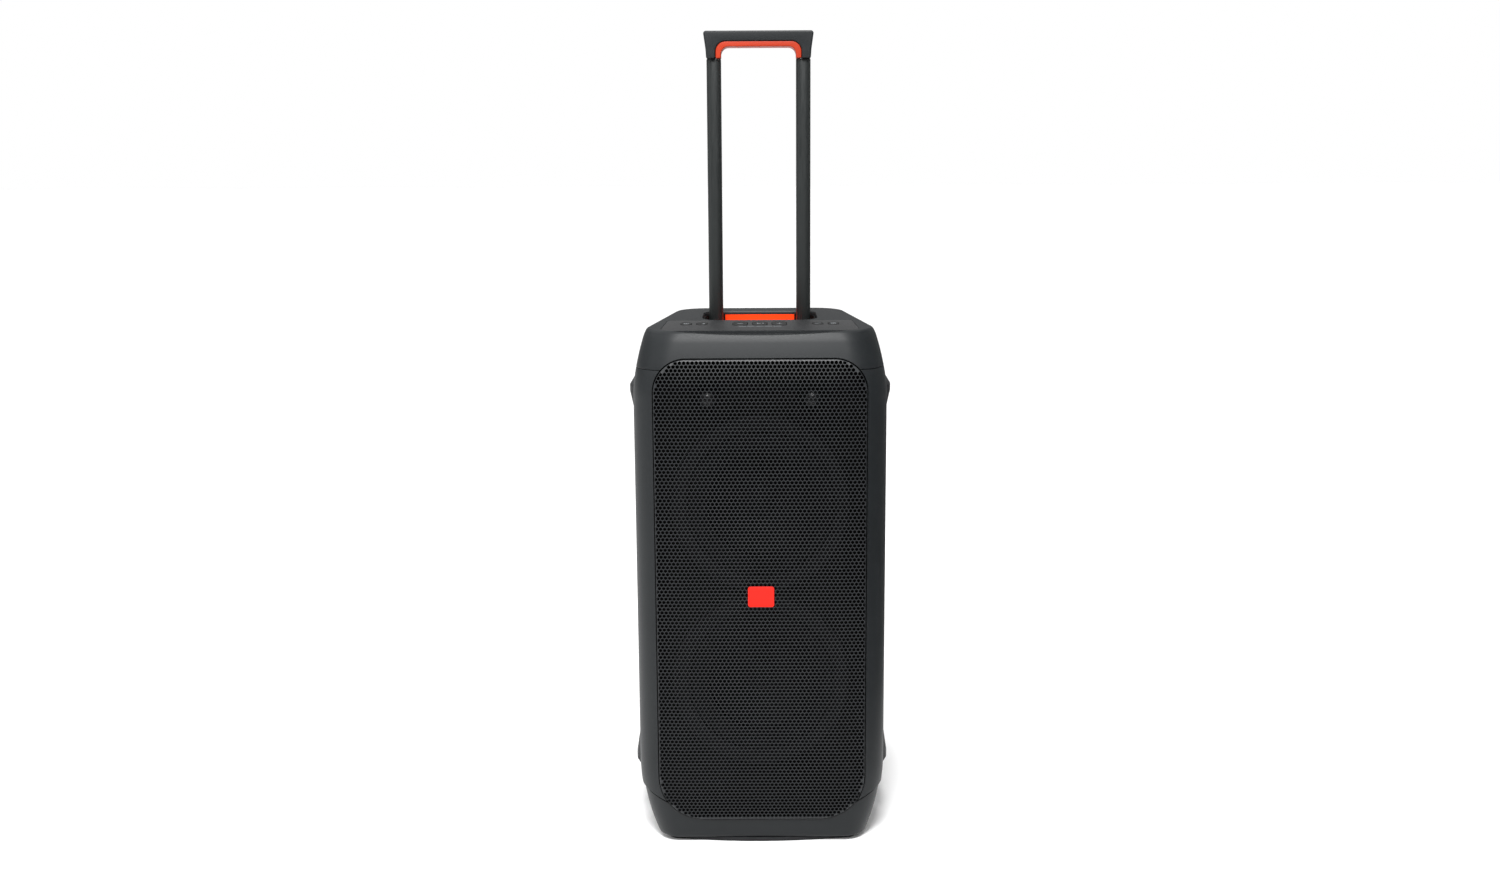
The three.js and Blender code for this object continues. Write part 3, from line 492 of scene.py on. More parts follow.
LOOKS = dict(
    casing=moulded("casing", "#131618", 0.48, rounding=0.9, shine=0.25),
    panel=moulded("panel", "#131416", 0.42, grain=0.4, relief=0.03, rounding=0.4, shine=0.45),
    knob=moulded("knob", "#141415", 0.45),
    liner=moulded("liner", "#eb4008", 0.45, grain=0.5, relief=0.03, shine=0.3),
    band=moulded("band", "#982b11", 0.45, grain=0.4, relief=0.03, shine=0.2),
    inner=moulded("inner", "#060606", 0.8, rounding=0.5, shine=0.1),
    baffle=moulded("baffle", "#050505", 0.9, shine=0.02),
    grille=powder_coated("grille", "#1b1d1f", 0.42, shine=0.28),
    basket=powder_coated("basket", "#080809", 0.8, rounding=0.4, shine=0.03),
    tube=drawn_metal("tube", "#1d2020", 0.38, 0.35, axis=2),
    steel=drawn_metal("steel", "#b9bbbe", 0.28, 1.0, axis=0),
    rubber=rubbery("rubber", "#17181a"),
    key=rubbery("key", "#0b0c0d", 0.6),
    bumper=rubbery("bumper", "#1f2022", 0.6),
    tyre=rubbery("tyre", "#0f0f10", 0.8),
    surround=rubbery("surround", "#060607", 0.8, shine=0.03),
    # Felted paper, the tweeter's metallised film, and the unlit light guide's smoked acrylic.
    cone=clouded("cone", "#070708", 0.62, (1.2, 6), 0.35, (0.5, 0.75), 0.12, 0.03),
    dome=clouded("dome", "#0c0c0d", 0.25, (5, 1), 0.1, (0.2, 0.3), 0.02, 0.25, metallic=0.1),
    diffuser=clouded("diffuser", "#070708", 0.45, (3, 3), 0.25, (0.4, 0.55), 0.02, 0.04),
    magnet=powder_coated("magnet", "#3c3c3e", 0.55, 0.4, rounding=0.6),
    board=circuit_board("board"),
    battery=moulded("battery", "#3b4b66", 0.4, grain=2.0, rounding=1.0),
    badge=moulded("badge", "#c81d12", 0.4, grain=1.5, relief=0.01, shine=0.15),
    ink=moulded("ink", "#8d9195", 0.5, grain=0.3, relief=0.01),
    # lamp: light grey charge lamps, partly a painted reflection of the pale surroundings along the panel in
    # front of the keys.
    lamp=moulded("lamp", "#6f7477", 0.25, grain=0.3, relief=0.01),
)

# ---- cabinet


def drawn_in(z, wall):
    """How far a wall, or the corners' radius, has shrunk inwards at height z."""
    rise = np.clip((LOWER_TAPER["start"] - z) / LOWER_TAPER["length"], 0, None) ** LOWER_TAPER["power"]
    climb = np.clip((z - UPPER_TAPER["start"]) / UPPER_TAPER["length"], 0, None) ** UPPER_TAPER["power"]
    return LOWER_TAPER[wall] * rise + UPPER_TAPER[wall] * climb


def cabinet_plan(z, inset=0.0):
    """The cabinet's plan at height z, moved in by inset."""
    front_half = CABINET.half - drawn_in(z, "sides") - inset
    back_half = CABINET.half - drawn_in(z, "back_sides") - inset
    front = CABINET.front + drawn_in(z, "front") + inset
    back = CABINET.back - drawn_in(z, "back") - inset
    sharper = drawn_in(z, "corner") + inset
    front_corner = (front_half, front, CABINET.front_radius - sharper)
    back_corner = (back_half, back, CABINET.back_radius - sharper)
    return symmetrical(front_corner, back_corner, PLAN_STEPS)


def rounded_ends(low, high, low_round, high_round, spacing):
    """Heights from low to high, each with how far the wall tucks in there."""
    lower, upper = (quarter_bend(radius, 4, 4) if radius else [] for radius in (low_round, high_round))
    count = max(2, int((high - low) / spacing))
    stations = [(low + rise, tuck) for rise, tuck in lower]
    stations += [(z, 0.0) for z in np.linspace(low + low_round, high - high_round, count + 1)]
    return stations + [(high - rise, tuck) for rise, tuck in reversed(upper)]


def wall_rings(low, high, inset=0.0, low_round=0.0, high_round=0.0, spacing=6.0):
    """Rings up the cabinet's wall, with rounded rims at the ends."""
    stations = rounded_ends(low, high, low_round, high_round, spacing)
    return [level(cabinet_plan(z, inset + tuck), z) for z, tuck in stations]


def sloped(ring, lid):
    """A ring lifted onto the top's slope, lid high at the slope's axis."""
    moved = ring.copy()
    moved[:, 2] = lid + CABINET.slope * (ring[:, 1] - CABINET.slope_axis)
    return moved


def cap_rings(low, inset, lid, edge, low_round=0.0):
    """Rings for the top cap: the wall up to its shoulder, then the sloping top's rounded edge."""
    rings = wall_rings(low, lid - 2 * CABINET.top_edge, inset, low_round)
    for tuck, drop in quarter_bend(edge, 6, 7):
        rings.append(sloped(level(cabinet_plan(lid - drop, inset + 0.7 * tuck), 0), lid - drop))
    return rings


def disc(radius, length, place):
    """A cylinder along its own +Z, as a tool."""
    return tool(turned([(radius, 0), (radius, length)], 64), place)


def window_outline(grow=0.0, straight=0):
    """The front opening's outline, with extra points along its straight sides."""
    low = (WINDOW.half + grow, WINDOW.bottom - grow, WINDOW.bottom_radius + grow)
    high = (WINDOW.half + grow, WINDOW.top + grow, WINDOW.top_radius + grow)
    return symmetrical(low, high, PLAN_STEPS, straight)


def window_tool():
    """The front opening, whose lip is softly rounded."""
    lip = [(0.0, -1.5 * CUT), (0.0, -1.4), (0.3, -0.1), (0.8, 1.0), (3.0, CUT)]
    rings = [level(window_outline(grow), height) for grow, height in lip]
    return tool(rings, at(0, CABINET.front, 0, FORWARD))


def beside(side, x):
    """The wheels' axis at distance x from the middle, with Z pointing outwards on that side."""
    turn = Matrix.Rotation(side * math.pi / 2, 4, "Y")
    return at(side * x, WHEEL.y, WHEEL.z, turn)


def wheel_tools():
    """The two wheel wells."""
    length = CABINET.half + CUT - WHEEL.well_inner
    return [disc(WHEEL.well, length, beside(side, WHEEL.well_inner)) for side in SIDES.values()]


def rear_tool(opening):
    """A rectangular opening in the back."""
    outline = rounded_rectangle(opening.width, opening.height, opening.corner, 0, opening.z)
    return prism(outline(), -CUT, CUT, ON_BACK)


def seam_tool(offset, limit):
    """Everything on one side of the lower seam, as far as the height limit."""
    seam = LOWER_SEAM
    climb = [(REACH, seam.ends), (seam.end, seam.ends), (seam.start, seam.middle)]
    line = climb + [(-x, z) for x, z in reversed(climb)]
    outline = np.array([(-REACH, limit), (REACH, limit)] + [(x, z + offset) for x, z in line])
    return prism(outline, -REACH, REACH, FORWARD)


def bottom_moulding():
    """The bottom cap, up to the lower seam."""
    low, high, step = CABINET.bottom, LOWER_SEAM.ends + 4, LOWER_SEAM.step
    hollow = wall_rings(low + CABINET.wall, high + 5, step + CABINET.wall)
    cutters = [tool(hollow), *wheel_tools(), window_tool(), seam_tool(-LOWER_SEAM.gap, REACH)]
    solid("bottom_moulding", wall_rings(low, high, step, low_round=3.0), "casing",
          cutters=cutters, node="bottom_cap")


def main_moulding():
    """The cabinet's shell, between the two seams."""
    low, high, wall = LOWER_SEAM.middle - 4, CABINET.upper_seam, CABINET.wall
    hollow = wall_rings(low - 5, high + 5, wall, spacing=24)
    port = disc(PORT.throat + GAP, 2 * CUT, at(0, CABINET.back - CUT, PORT.z, REARWARD))
    cutters = [tool(hollow), *wheel_tools(), window_tool(), seam_tool(LOWER_SEAM.gap, -REACH)]
    cutters += [rear_tool(BAY), rear_tool(MAINS), port]
    solid("main_moulding", wall_rings(low, high - GAP, high_round=0.6), "casing",
          cutters=cutters, node="cabinet_shell")


def top_moulding():
    """The top cap, cut for the window, the panel, its scoop and the pocket."""
    low, wall, top = CABINET.upper_seam, CABINET.wall, CABINET.top
    hollow = cap_rings(low - 5, wall, top - 2 * wall, 2.0)
    cutters = [tool(hollow), window_tool(), panel_tool(), crescent_tool(), pocket_tool()]
    rings = cap_rings(low + GAP, 0.0, top, CABINET.top_edge, low_round=0.6)
    solid("top_moulding", rings, "casing", cutters=cutters, node="top_cap")


def well_cups():
    """Moulded cups that close the wheel wells off from the inside."""
    inner, radius, wall = WHEEL.well_inner, WHEEL.well, CABINET.wall
    depth = CABINET.half - inner
    profile = [(WHEEL.axle + GAP, -wall), (radius + wall, -wall), (radius + wall, depth)]
    profile += [(radius + 0.2, depth), (radius + 0.2, -0.2), (WHEEL.axle + GAP, -0.2)]
    for name, side in SIDES.items():
        cup = block(name + "_wheel_cup", turned(profile, 64), beside(side, inner), looped=True)
        within = wall_rings(CABINET.bottom + 0.5, WHEEL.z + radius + CUT, LOWER_SEAM.step + 0.5)
        combine(cup, [tool(within)], "INTERSECT")
        finish_piece(cup, "inner")


def panel_outline(grow=0.0):
    """The control panel seen from above."""
    front = (PANEL.front_half + grow, PANEL.front - grow, PANEL.corner + grow)
    back = (PANEL.back_half + grow, PANEL.back + grow, PANEL.back_corner + grow)
    return symmetrical(front, back, 10)


def panel_tool():
    """The recess for the control panel."""
    return prism(panel_outline(GAP), -PANEL.thickness - GAP, CUT, ON_TOP)


def crescent_tool():
    """The shallow scoop that bares the panel's front edge, deepest in the middle."""
    half, drop = CRESCENT.half, CRESCENT.drop
    rim = top_at(PANEL.front)
    across = np.linspace(-half, half, 49)
    dip = [(x, rim - drop * (1 - (x / half) ** 2)) for x in across]
    outline = np.array(dip + [(half + 1, rim + CUT), (-half - 1, rim + CUT)])
    return prism(outline, 0, 2 * CUT, at(0, PANEL.front - 0.4, 0, FORWARD))


pocket_outline = rounded_rectangle(2 * POCKET.half, POCKET.back - POCKET.front, POCKET.corner, 0,
                                   (POCKET.front + POCKET.back) / 2)


def pocket_tool():
    """The handle pocket's opening, whose lip is softly rounded."""
    lip = [(0.0, -CUT), (0.0, -3.0), (0.1, -1.2), (0.6, 0.1), (4.0, 6.0)]
    return tool([level(pocket_outline(grow), top_at(0) + rise) for grow, rise in lip])


def handle_pocket():
    """The orange middle of the tub that the lowered handle sinks into."""
    low, high, wall = POCKET.floor, POCKET.floor + POCKET.depth, POCKET.wall
    tub = block("handle_pocket", rounded_stack(lambda grow: pocket_outline(grow - GAP), low, high, 1.0, 0.8))
    inner = rounded_stack(lambda grow: pocket_outline(grow - wall), low + wall, high + CUT, 3.0)
    combine(tub, [tool(inner)])
    span = rounded_rectangle(2 * POCKET.liner_half, REACH, 0.1)
    combine(tub, [prism(span(), low - CUT, high + CUT)], "INTERSECT")
    finish_piece(tub, "liner", node="pocket_liner")


def bumpers():
    """Wedge-shaped rubbing strips on the sides, each steep at one end and blunt at the other."""
    wall, reach = CABINET.half + GAP, BUMPER.steep + BUMPER.crest
    tip, toe, nose = wall + BUMPER.proud, wall + BUMPER.toe, BUMPER.nose
    for height, end in BUMPER_ENDS.items():
        z, way, length = end.z, end.way, reach + end.taper
        profile = [(wall, z, 1), (tip, z + way * BUMPER.steep, nose), (tip, z + way * reach, nose)]
        profile += [(toe, z + way * length, 1.5), (wall, z + way * length, 0.5)]
        rings = bumper_rings(profile[::way])
        for side_name, side in SIDES.items():
            name = f"bumper_{height}_{side_name}"
            turn = FORWARD if side > 0 else Matrix.Rotation(math.pi, 4, "Z") @ FORWARD
            solid(name + "_strip", rings, "bumper", at(0, BUMPER.y, 0, turn), node=name)


def bumper_rings(profile):
    """The wedge profile swept along the side, sinking towards the wall at both ends."""
    wall = CABINET.half + GAP
    half = BUMPER.length / 2
    rings = []
    for share in np.linspace(-1, 1, 41):
        lift = max(0.05, 1 - abs(share) ** 10)
        outline = rounded_outline(profile, 6)
        middle = outline[:, 1].mean()
        outline[:, 0] = wall + (outline[:, 0] - wall) * lift
        outline[:, 1] = middle + (outline[:, 1] - middle) * (0.9 + 0.1 * lift)
        rings.append(level(outline, share * half))
    return rings


def foot_outline(foot, grow=0.0):
    """A bar whose front edge may bow forwards in the middle."""
    half, reach, bow = foot.width / 2 + grow, FOOT.depth / 2 + grow, foot.bow
    front, back = foot.y - reach, foot.y + reach
    sharp, blunt = FOOT.corner + grow, foot.front_corner + grow
    middle = [(0, front - bow / 2, 600)] if bow else []
    corners = [(-half, front + bow, blunt), *middle, (half, front + bow, blunt)]
    return rounded_outline(corners + [(half, back, sharp), (-half, back, sharp)])


def feet():
    """The plinth bars under the front and the back."""
    for name, foot in FEET.items():
        rings = rounded_stack(lambda grow: foot_outline(foot, grow), 0, FOOT.height, 1.5, 0.5)
        solid(name + "_pad", rings, "rubber", node=name)


# ---- front


def edge_distance(x, z):
    """How far a point lies inside the grille's outline."""
    gap = GRILLE.gap
    half, bottom, top = WINDOW.half - gap, WINDOW.bottom + gap, WINDOW.top - gap
    lower = z < (bottom + top) / 2
    radius = np.where(lower, WINDOW.bottom_radius, WINDOW.top_radius) - gap
    past_x = np.abs(x) - (half - radius)
    past_z = np.where(lower, bottom + radius - z, z - (top - radius))
    straight = np.minimum(half - np.abs(x), np.minimum(z - bottom, top - z))
    return np.where((past_x > 0) & (past_z > 0), radius - np.hypot(past_x, past_z), straight)


def sheet_y(x, z):
    """The y of the grille's front: crowned, tapered with the cabinet, and rolled back at its edge."""
    distance = np.clip(edge_distance(x, z), 0, None)
    swell = np.clip(distance / GRILLE.crown_width, 0, 1)
    crown = GRILLE.crown * (1 - swell * swell * (3 - 2 * swell))
    turn = np.clip(1 - distance / GRILLE.roll_width, 0, 1)
    return GRILLE.front + drawn_in(z, "front") + crown + GRILLE.roll_depth * (1 - np.sqrt(1 - turn**2))


def grille_cells():
    """Centres of the perforations, staggered row by row, that lie inside the edge."""
    pitch = GRILLE.pitch
    row_height = pitch * math.sqrt(3) / 2
    centres = []
    rows = int((WINDOW.top - WINDOW.bottom) / row_height)
    columns = int(WINDOW.half / pitch) + 1
    for row in range(rows):
        z = WINDOW.bottom + (row + 0.5) * row_height
        shift = 0.5 if row % 2 else 0.0
        centres += [((column + shift) * pitch, z) for column in range(-columns, columns + 1)]
    centres = np.array(centres)
    angles = np.radians(30 + 60 * np.arange(6))
    corner = pitch / math.sqrt(3) * np.column_stack([np.cos(angles), np.sin(angles)])
    inside = edge_distance(centres[:, 0], centres[:, 1]) > 4 * GRILLE.border
    return centres[inside], corner


def held_inside(x, z, least):
    """The point, moved in so that it lies at least that far inside the grille's outline."""
    for _ in range(3):
        distance = float(edge_distance(x, z))
        if distance >= least:
            break
        step = 0.05
        slope_x = (edge_distance(x + step, z) - edge_distance(x - step, z)) / (2 * step)
        slope_z = (edge_distance(x, z + step) - edge_distance(x, z - step)) / (2 * step)
        x, z = x + slope_x * (least - distance), z + slope_z * (least - distance)
    return float(x), float(z)


class Sheet:
    """The perforated sheet's flat pattern, gathered as (x, z, depth) points and faces."""

    def __init__(self):
        self.points, self.faces, self.index = [], [], {}

    def shared(self, x, z):
        """The index of a corner that neighbouring cells share."""
        key = (round(x, 2), round(z, 2))
        if key not in self.index:
            self.index[key] = self.own(*held_inside(x, z, GRILLE.border))
        return self.index[key]

    def own(self, x, z, depth=0.0):
        """The index of a new point."""
        self.points.append((x, z, depth))
        return len(self.points) - 1

    def strip(self, inner, outer):
        """Adds a closed band of faces between two loops."""
        count = len(inner)
        for i in range(count):
            j = (i + 1) % count
            self.faces.append((inner[i], outer[i], outer[j], inner[j]))


def perforate(sheet):
    """Adds every cell, and returns the edges left open round the whole field."""
    centres, corner = grille_cells()
    seen = {}
    for centre in centres:
        outer = [sheet.shared(x, z) for x, z in centre + corner]
        rim = [held_inside(x, z, 2 * GRILLE.border) for x, z in centre + GRILLE.hole * corner]
        hole = [sheet.own(x, z) for x, z in rim]
        back = [sheet.own(x, z, GRILLE.sheet) for x, z in rim]
        sheet.strip(hole, outer)
        sheet.strip(back, hole)
        for a, b in zip(outer, outer[1:] + outer[:1]):
            seen[frozenset((a, b))] = None if frozenset((a, b)) in seen else (a, b)
    return centres, [edge for edge in seen.values() if edge]


def fill_border(sheet, centres, open_edges, rim):
    """Fills the plain band between the perforations and the rim."""
    used = sorted({i for edge in open_edges for i in edge})
    loop = used + rim
    local = {point: i for i, point in enumerate(loop)}
    flat = [Vector(sheet.points[i][:2]) for i in loop]
    edges = [(local[a], local[b]) for a, b in open_edges]
    edges += [(local[a], local[b]) for a, b in zip(rim, rim[1:] + rim[:1])]
    made, _, faces, origin, _, _ = geometry.delaunay_2d_cdt(flat, edges, [], 0, 1e-4)
    pitch = GRILLE.pitch
    for face in faces:
        middle = sum((made[i] for i in face), Vector((0, 0))) / len(face)
        nearest = centres[np.argmin(np.hypot(centres[:, 0] - middle.x, centres[:, 1] - middle.y))]
        offset = np.abs([middle.x - nearest[0], middle.y - nearest[1]])
        reach = offset[1] + offset[0] / math.sqrt(3)
        in_cell = offset[0] < pitch / 2 + 0.05 and reach < pitch / math.sqrt(3) + 0.05
        distance = edge_distance(middle.x, middle.y)
        beyond_cells = distance < GRILLE.border - 0.005
        if distance < GRILLE.border / 2 or (in_cell and not beyond_cells):
            continue
        corners = [loop[origin[i][0]] for i in face]
        a, b, c = (Vector(sheet.points[i][:2]) for i in corners[:3])
        turn = (b - a).x * (c - a).y - (b - a).y * (c - a).x
        sheet.faces.append(tuple(corners if turn > 0 else reversed(corners)))


def grille():
    """Perforated steel: hexagonal holes up to a narrow border, and an edge rolled back to the baffle."""
    sheet = Sheet()
    centres, open_edges = perforate(sheet)
    insets = [GRILLE.border / 2, 0.1, 0.0]
    outlines = [window_outline(-GRILLE.gap - inset, straight=40) for inset in insets]
    loops = [[sheet.own(x, z) for x, z in outline] for outline in outlines]
    fill_border(sheet, centres, open_edges, loops[0])
    for inner, outer in zip(loops, loops[1:]):
        sheet.strip(inner, outer)
    foot = [sheet.own(*sheet.points[i][:2], -1.0) for i in loops[-1]]
    sheet.strip(loops[-1], foot)
    points = np.array(sheet.points)
    y = sheet_y(points[:, 0], points[:, 1]) + points[:, 2]
    y[points[:, 2] < 0] = GRILLE.foot
    vertices = np.column_stack([points[:, 0], y, points[:, 1]])
    made = as_object("perforated_grille", vertices, sheet.faces, recalculate=False)
    finish_piece(made, "grille", node="front_grille")


def badge():
    """A plain rounded plate on the grille, with a shallow dished face."""
    outline = rounded_rectangle(BADGE.width, BADGE.height, BADGE.corner, 0, BADGE.z)
    depth = BADGE.back - BADGE.front
    rings = rounded_stack(outline, 0, depth, 0.1, 0.7)
    rings += dished(outline, depth, [(1.6, 0.0), (2.2, 0.18), (3.0, 0.22)])
    solid("front_badge", rings, "badge", at(0, BADGE.back, 0, FORWARD), node="badge")


# ---- loudspeakers


def woofer(name, z):
    """Cone, dust cap and rubber roll; the basket and magnet behind keep their CAD shapes."""
    place = at(0, BAFFLE_FRONT, z, FORWARD)
    body = name + "_cone"
    profile = [(17.6, -55), (19.4, -55), (19.4, -31.5), (62.6, -1.4), (64.4, -0.6), (64.4, 0.2)]
    profile += [(62.8, 0.4), (56, -4.6), (48, -10.2), (40, -15.6), (32, -20.6), (24.6, -25.6), (17.6, -28)]
    lathe(name + "_woofer_diaphragm", profile, "cone", place, body=body, node=name + "_woofer_cone")

    bulge = np.linspace(0, math.pi / 2 - 0.42, 14)
    dome = [(24.2 * math.sin(a), -33.4 + 17.8 * math.cos(a)) for a in bulge]
    dome += [(r - 0.9, h - 0.9) for r, h in reversed(dome) if r > 1] + [(0, dome[0][1] - 1.0)]
    lathe(name + "_woofer_cap", dome, "cone", place, 64, body=body, node=name + "_woofer_dust_cap")

    roll = [(64.6, 0.6), (64.6, 4.0)] + arc((69.4, 5.0), 4.8, 180, 12, 14) + [(75, 5.3), (81.2, 5.3)]
    roll += [(81.5, 4.9), (81.5, 4.1), (73.6, 4.1)] + arc((69.4, 5.0), 3.7, 0, 176, 14) + [(65.7, 0.6)]
    surround = block(name + "_woofer_roll", turned(roll), place, looped=True)
    finish_piece(surround, "surround", body=None, node=name + "_woofer_surround")
    start, end = ((0, (BAFFLE_FRONT - ahead) * MM, z * MM) for ahead in (4.3, 0.5))
    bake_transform(surround)
    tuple(start)
    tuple(end)


def light_ring(name, z):
    """The light guide round a woofer."""
    profile = [(93, 0.3), (112, 0.3), (112, 4)] + arc((109.5, 4.5), 2.5, 0, 90, 5)
    profile += [(104, 6.2), (101, 6.2)] + arc((95.5, 4.5), 2.5, 90, 180, 5)
    place = at(0, BAFFLE_FRONT, z, FORWARD)
    lathe(name + "_light_guide", profile, "diffuser", place, 128, node=name + "_light_ring")


def tweeter(name, side):
    """A shallow horn round a small metallised dome."""
    place = at(side * TWEETER.x, BAFFLE_FRONT, TWEETER.z, FORWARD)
    horn = [(0, -34), (23, -34), (23, 0.3), (33, 0.3), (33, 2.0)] + arc((31.6, 2.0), 1.4, 0, 90, 4)
    horn += [(28, 3.4)] + arc((28, -11), 14.4, 92, 148, 10) + [(14.6, -3.6), (14.2, -9), (0, -9)]
    lathe(name + "_tweeter_horn", horn, "baffle", place, 72, node=name + "_tweeter_body")
    rise = np.linspace(0.1, math.pi / 2, 14)
    film = [(13, -6.5), (13, -4.0)] + [(13 * math.cos(a), -4 + 10.3 * math.sin(a)) for a in rise]
    film += [(12 * math.cos(a), -4 + 9.2 * math.sin(a)) for a in reversed(rise)] + [(12, -6.5)]
    lathe(name + "_tweeter_film", film, "dome", place, 64, body=name + "_dome", node=name + "_tweeter_dome")


# ---- control panel


def key_positions():
    """Each key's middle and size, read from the CAD frame."""
    keys = {}
    for name in frame["bodies"]:
        if name.startswith("key_"):
            low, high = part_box(name)
            x = (low.x + high.x) / 2 / MM
            keys[name] = (x, LARGE_KEY if (high.x - low.x) / MM > 16 else SMALL_KEY)
    return keys


def key_outline(x, size):
    """A key's outline, as a function of how far it is grown outwards."""
    return rounded_rectangle(size.width, size.length, size.width * ROUND_END, x, KEY.y)


def control_panel():
    """The key plate with its seven keys, their icons, and light grey charge lamps that are partly a painted
    reflection in front of the keys.
    """
    keys = key_positions()
    undercut = level(panel_outline(-3), -PANEL.thickness)
    plate = [undercut, *rounded_stack(panel_outline, -1.2, 0, 0, 0.6)]
    holes = [prism(key_outline(x, size)(0.4), -CUT, CUT, ON_TOP) for x, size in keys.values()]
    solid("key_panel", plate, "panel", ON_TOP, cutters=holes, node="control_panel")
    for name, (x, size) in keys.items():
        outline = key_outline(x, size)
        rings = rounded_stack(outline, KEY.proud - KEY.height, KEY.proud, 0.2, 1.0)
        rings += dished(outline, KEY.proud, [(2.0, 0.05), (3.4, 0.3), (4.6, 0.4)])
        solid(name + "_cap", rings, "key", ON_TOP, body=name, node=name)
        raised_lines(name + "_icon", ICONS[name], 0.75, (x, KEY.y, KEY.proud - 0.42), "ink", name)
    # The dashes are charge lamps, and their light grey also paints the reflection of the pale surroundings
    # that shows along the panel in front of the keys.
    dashes = [[(11 * i - 5, 0), (11 * i + 5, 0)] for i in range(-2, 3)]
    raised_lines("charge_lamps_and_painted_reflection", dashes, 2.2, (0, KEY.y - KEY.lamps, 0), "lamp", "cabinet")


def ribbon(points, width):
    """The left and right edges of a flat line drawn along 2-D points."""
    path = [Vector(p) for p in points]
    left, right = [], []
    for i, point in enumerate(path):
        direction = (path[min(i + 1, len(path) - 1)] - path[max(i - 1, 0)]).normalized()
        normal = Vector((-direction.y, direction.x)) * width / 2
        left.append(point + normal)
        right.append(point - normal)
    return left, right


ICONS = {
    "key_power": [arc((0, 0), 3, 125, 415, 24), [(0, 1), (0, 4.4)]],
    "key_pairing": [arc((0, 0), radius, -50, 50, 12) for radius in (1.4, 3, 4.6)],
    "key_volume_down": [[(-3.6, 0), (3.6, 0)]],
    "key_play": [[(-3.2, -3.4), (-3.2, 3.4), (2.2, 0), (-3.2, -3.4)], [(4.2, -3.2), (4.2, 3.2)]],
    "key_volume_up": [[(-3.6, 0), (3.6, 0)], [(0, -3.6), (0, 3.6)]],
    "key_bass": [[(x, 2.2 * math.sin(x * 0.9)) for x in np.linspace(-4.2, 4.2, 24)]],
    "key_light": [arc((0, 0), 1.8, 0, 360, 24)] + [
        [(2.9 * math.cos(a), 2.9 * math.sin(a)), (4.3 * math.cos(a), 4.3 * math.sin(a))]
        for a in np.radians(np.arange(0, 360, 45))
    ],
}


def raised_lines(name, lines, width, place, look, body):
    """Thin printed lines, drawn about the place's x and y and standing on its height."""
    x, y, base = place
    vertices, faces = [], []
    for line in lines:
        left, right = ribbon(line, width)
        for a, b, c, d in zip(left, left[1:], right[1:], right):
            quad = [(p.x + x, p.y + y) for p in (a, d, c, b)]
            points, sides = skin([level(quad, base), level(quad, base + PRINT)])
            faces += [tuple(len(vertices) + i for i in side) for side in sides]
            vertices += points.tolist()
    finish_piece(as_object(name, vertices, faces, ON_TOP), look, body)


# ---- handle


def mirrored(half):
    """A whole outline from the corners of its right half."""
    return rounded_outline(half + [(-x, z, r) for x, z, r in reversed(half)])


def grip_outline(grow=0.0):
    """The grip seen from the front: a bar over an arch, splayed a little towards its top."""
    half_low, half_high = GRIP.bottom_width / 2 + grow, GRIP.top_width / 2 + grow
    bottom, top, waist = GRIP.bottom - grow, GRIP.top + grow, GRIP.bottom - grow + 12
    inner, arch_top = ARCH.half - grow, ARCH.top - grow
    edge, bend = 2.2 + grow, ARCH.radius - grow
    half = [(inner, arch_top, bend), (inner, bottom, edge), (half_low, bottom, edge)]
    half += [(half_low + 0.8, waist, 30), (half_high, top, edge + 1.2)]
    return mirrored(half)


def band_outline(grow=0.0):
    """The orange band that lines the arch."""
    outer, inner = ARCH.half - GAP + grow, ARCH.half - ARCH.band - grow
    roof, ceiling = ARCH.top - GAP + grow, ARCH.top - ARCH.band - grow
    bottom, edge = GRIP.bottom + 0.5 - grow, 1.4 + grow
    half = [(inner, ceiling, ARCH.radius - 3 - grow), (inner, bottom, edge)]
    half += [(outer, bottom, edge), (outer, roof, ARCH.radius + grow)]
    return mirrored(half)


def tube_outline(x):
    """A handle tube's outline, as a function of how far it is grown outwards."""
    return rounded_rectangle(TUBE.width, TUBE.depth, TUBE.width * ROUND_END, x, TUBE.y, steps=10)


latch_outline = rounded_rectangle(LATCH.width, LATCH.depth, LATCH.corner, 0, TUBE.y)


def spigot_tool(side, grow, low):
    """The stub that joins a tube to the grip, or the hole it sits in when grown."""
    outline = tube_outline(side * (TUBE.x + 3))
    return prism(outline(grow - TUBE.shoulder), low, TUBE.spigot + 8 * grow)


def handle():
    """Two oval tubes, the grip with its orange inner band, and the release latch."""
    y, depth, latch_top = TUBE.y, GRIP.depth, GRIP.top - GAP
    latch_foot = latch_top - LATCH.height
    socket = prism(latch_outline(0.5), latch_foot - LATCH.travel - 0.2, latch_top + CUT)
    legs = [spigot_tool(side, 0.5, GRIP.bottom - CUT) for side in SIDES.values()]
    solid("handle_grip", rounded_stack(grip_outline, 0, depth, 2.0, 2.0), "casing",
          at(0, y + depth / 2, 0, FORWARD), cutters=[socket, *legs], body="handle", node="grip_shell")
    solid("handle_band", rounded_stack(band_outline, 0, depth - 3, 1.2, 1.2), "band",
          at(0, y + depth / 2 - 1.5, 0, FORWARD), body="handle", node="grip_liner")
    for name, side in SIDES.items():
        rings = rounded_stack(tube_outline(side * TUBE.x), TUBE.bottom, TUBE.top, 0.6, 0.6)
        tube = block(f"{name}_tube", rings)
        combine(tube, [spigot_tool(side, 0.0, TUBE.top - 8)], "UNION")
        finish_piece(tube, "tube", body="handle", node=f"handle_tube_{name}")
    rings = rounded_stack(latch_outline, latch_foot, latch_top, 0.4, 1.2)
    rings += dished(latch_outline, latch_top, [(2.4, 0.1), (4.0, 0.7), (6.0, 1.0)])
    solid("handle_latch", rings, "panel", body="latch", node="latch_button")


# ---- wheels


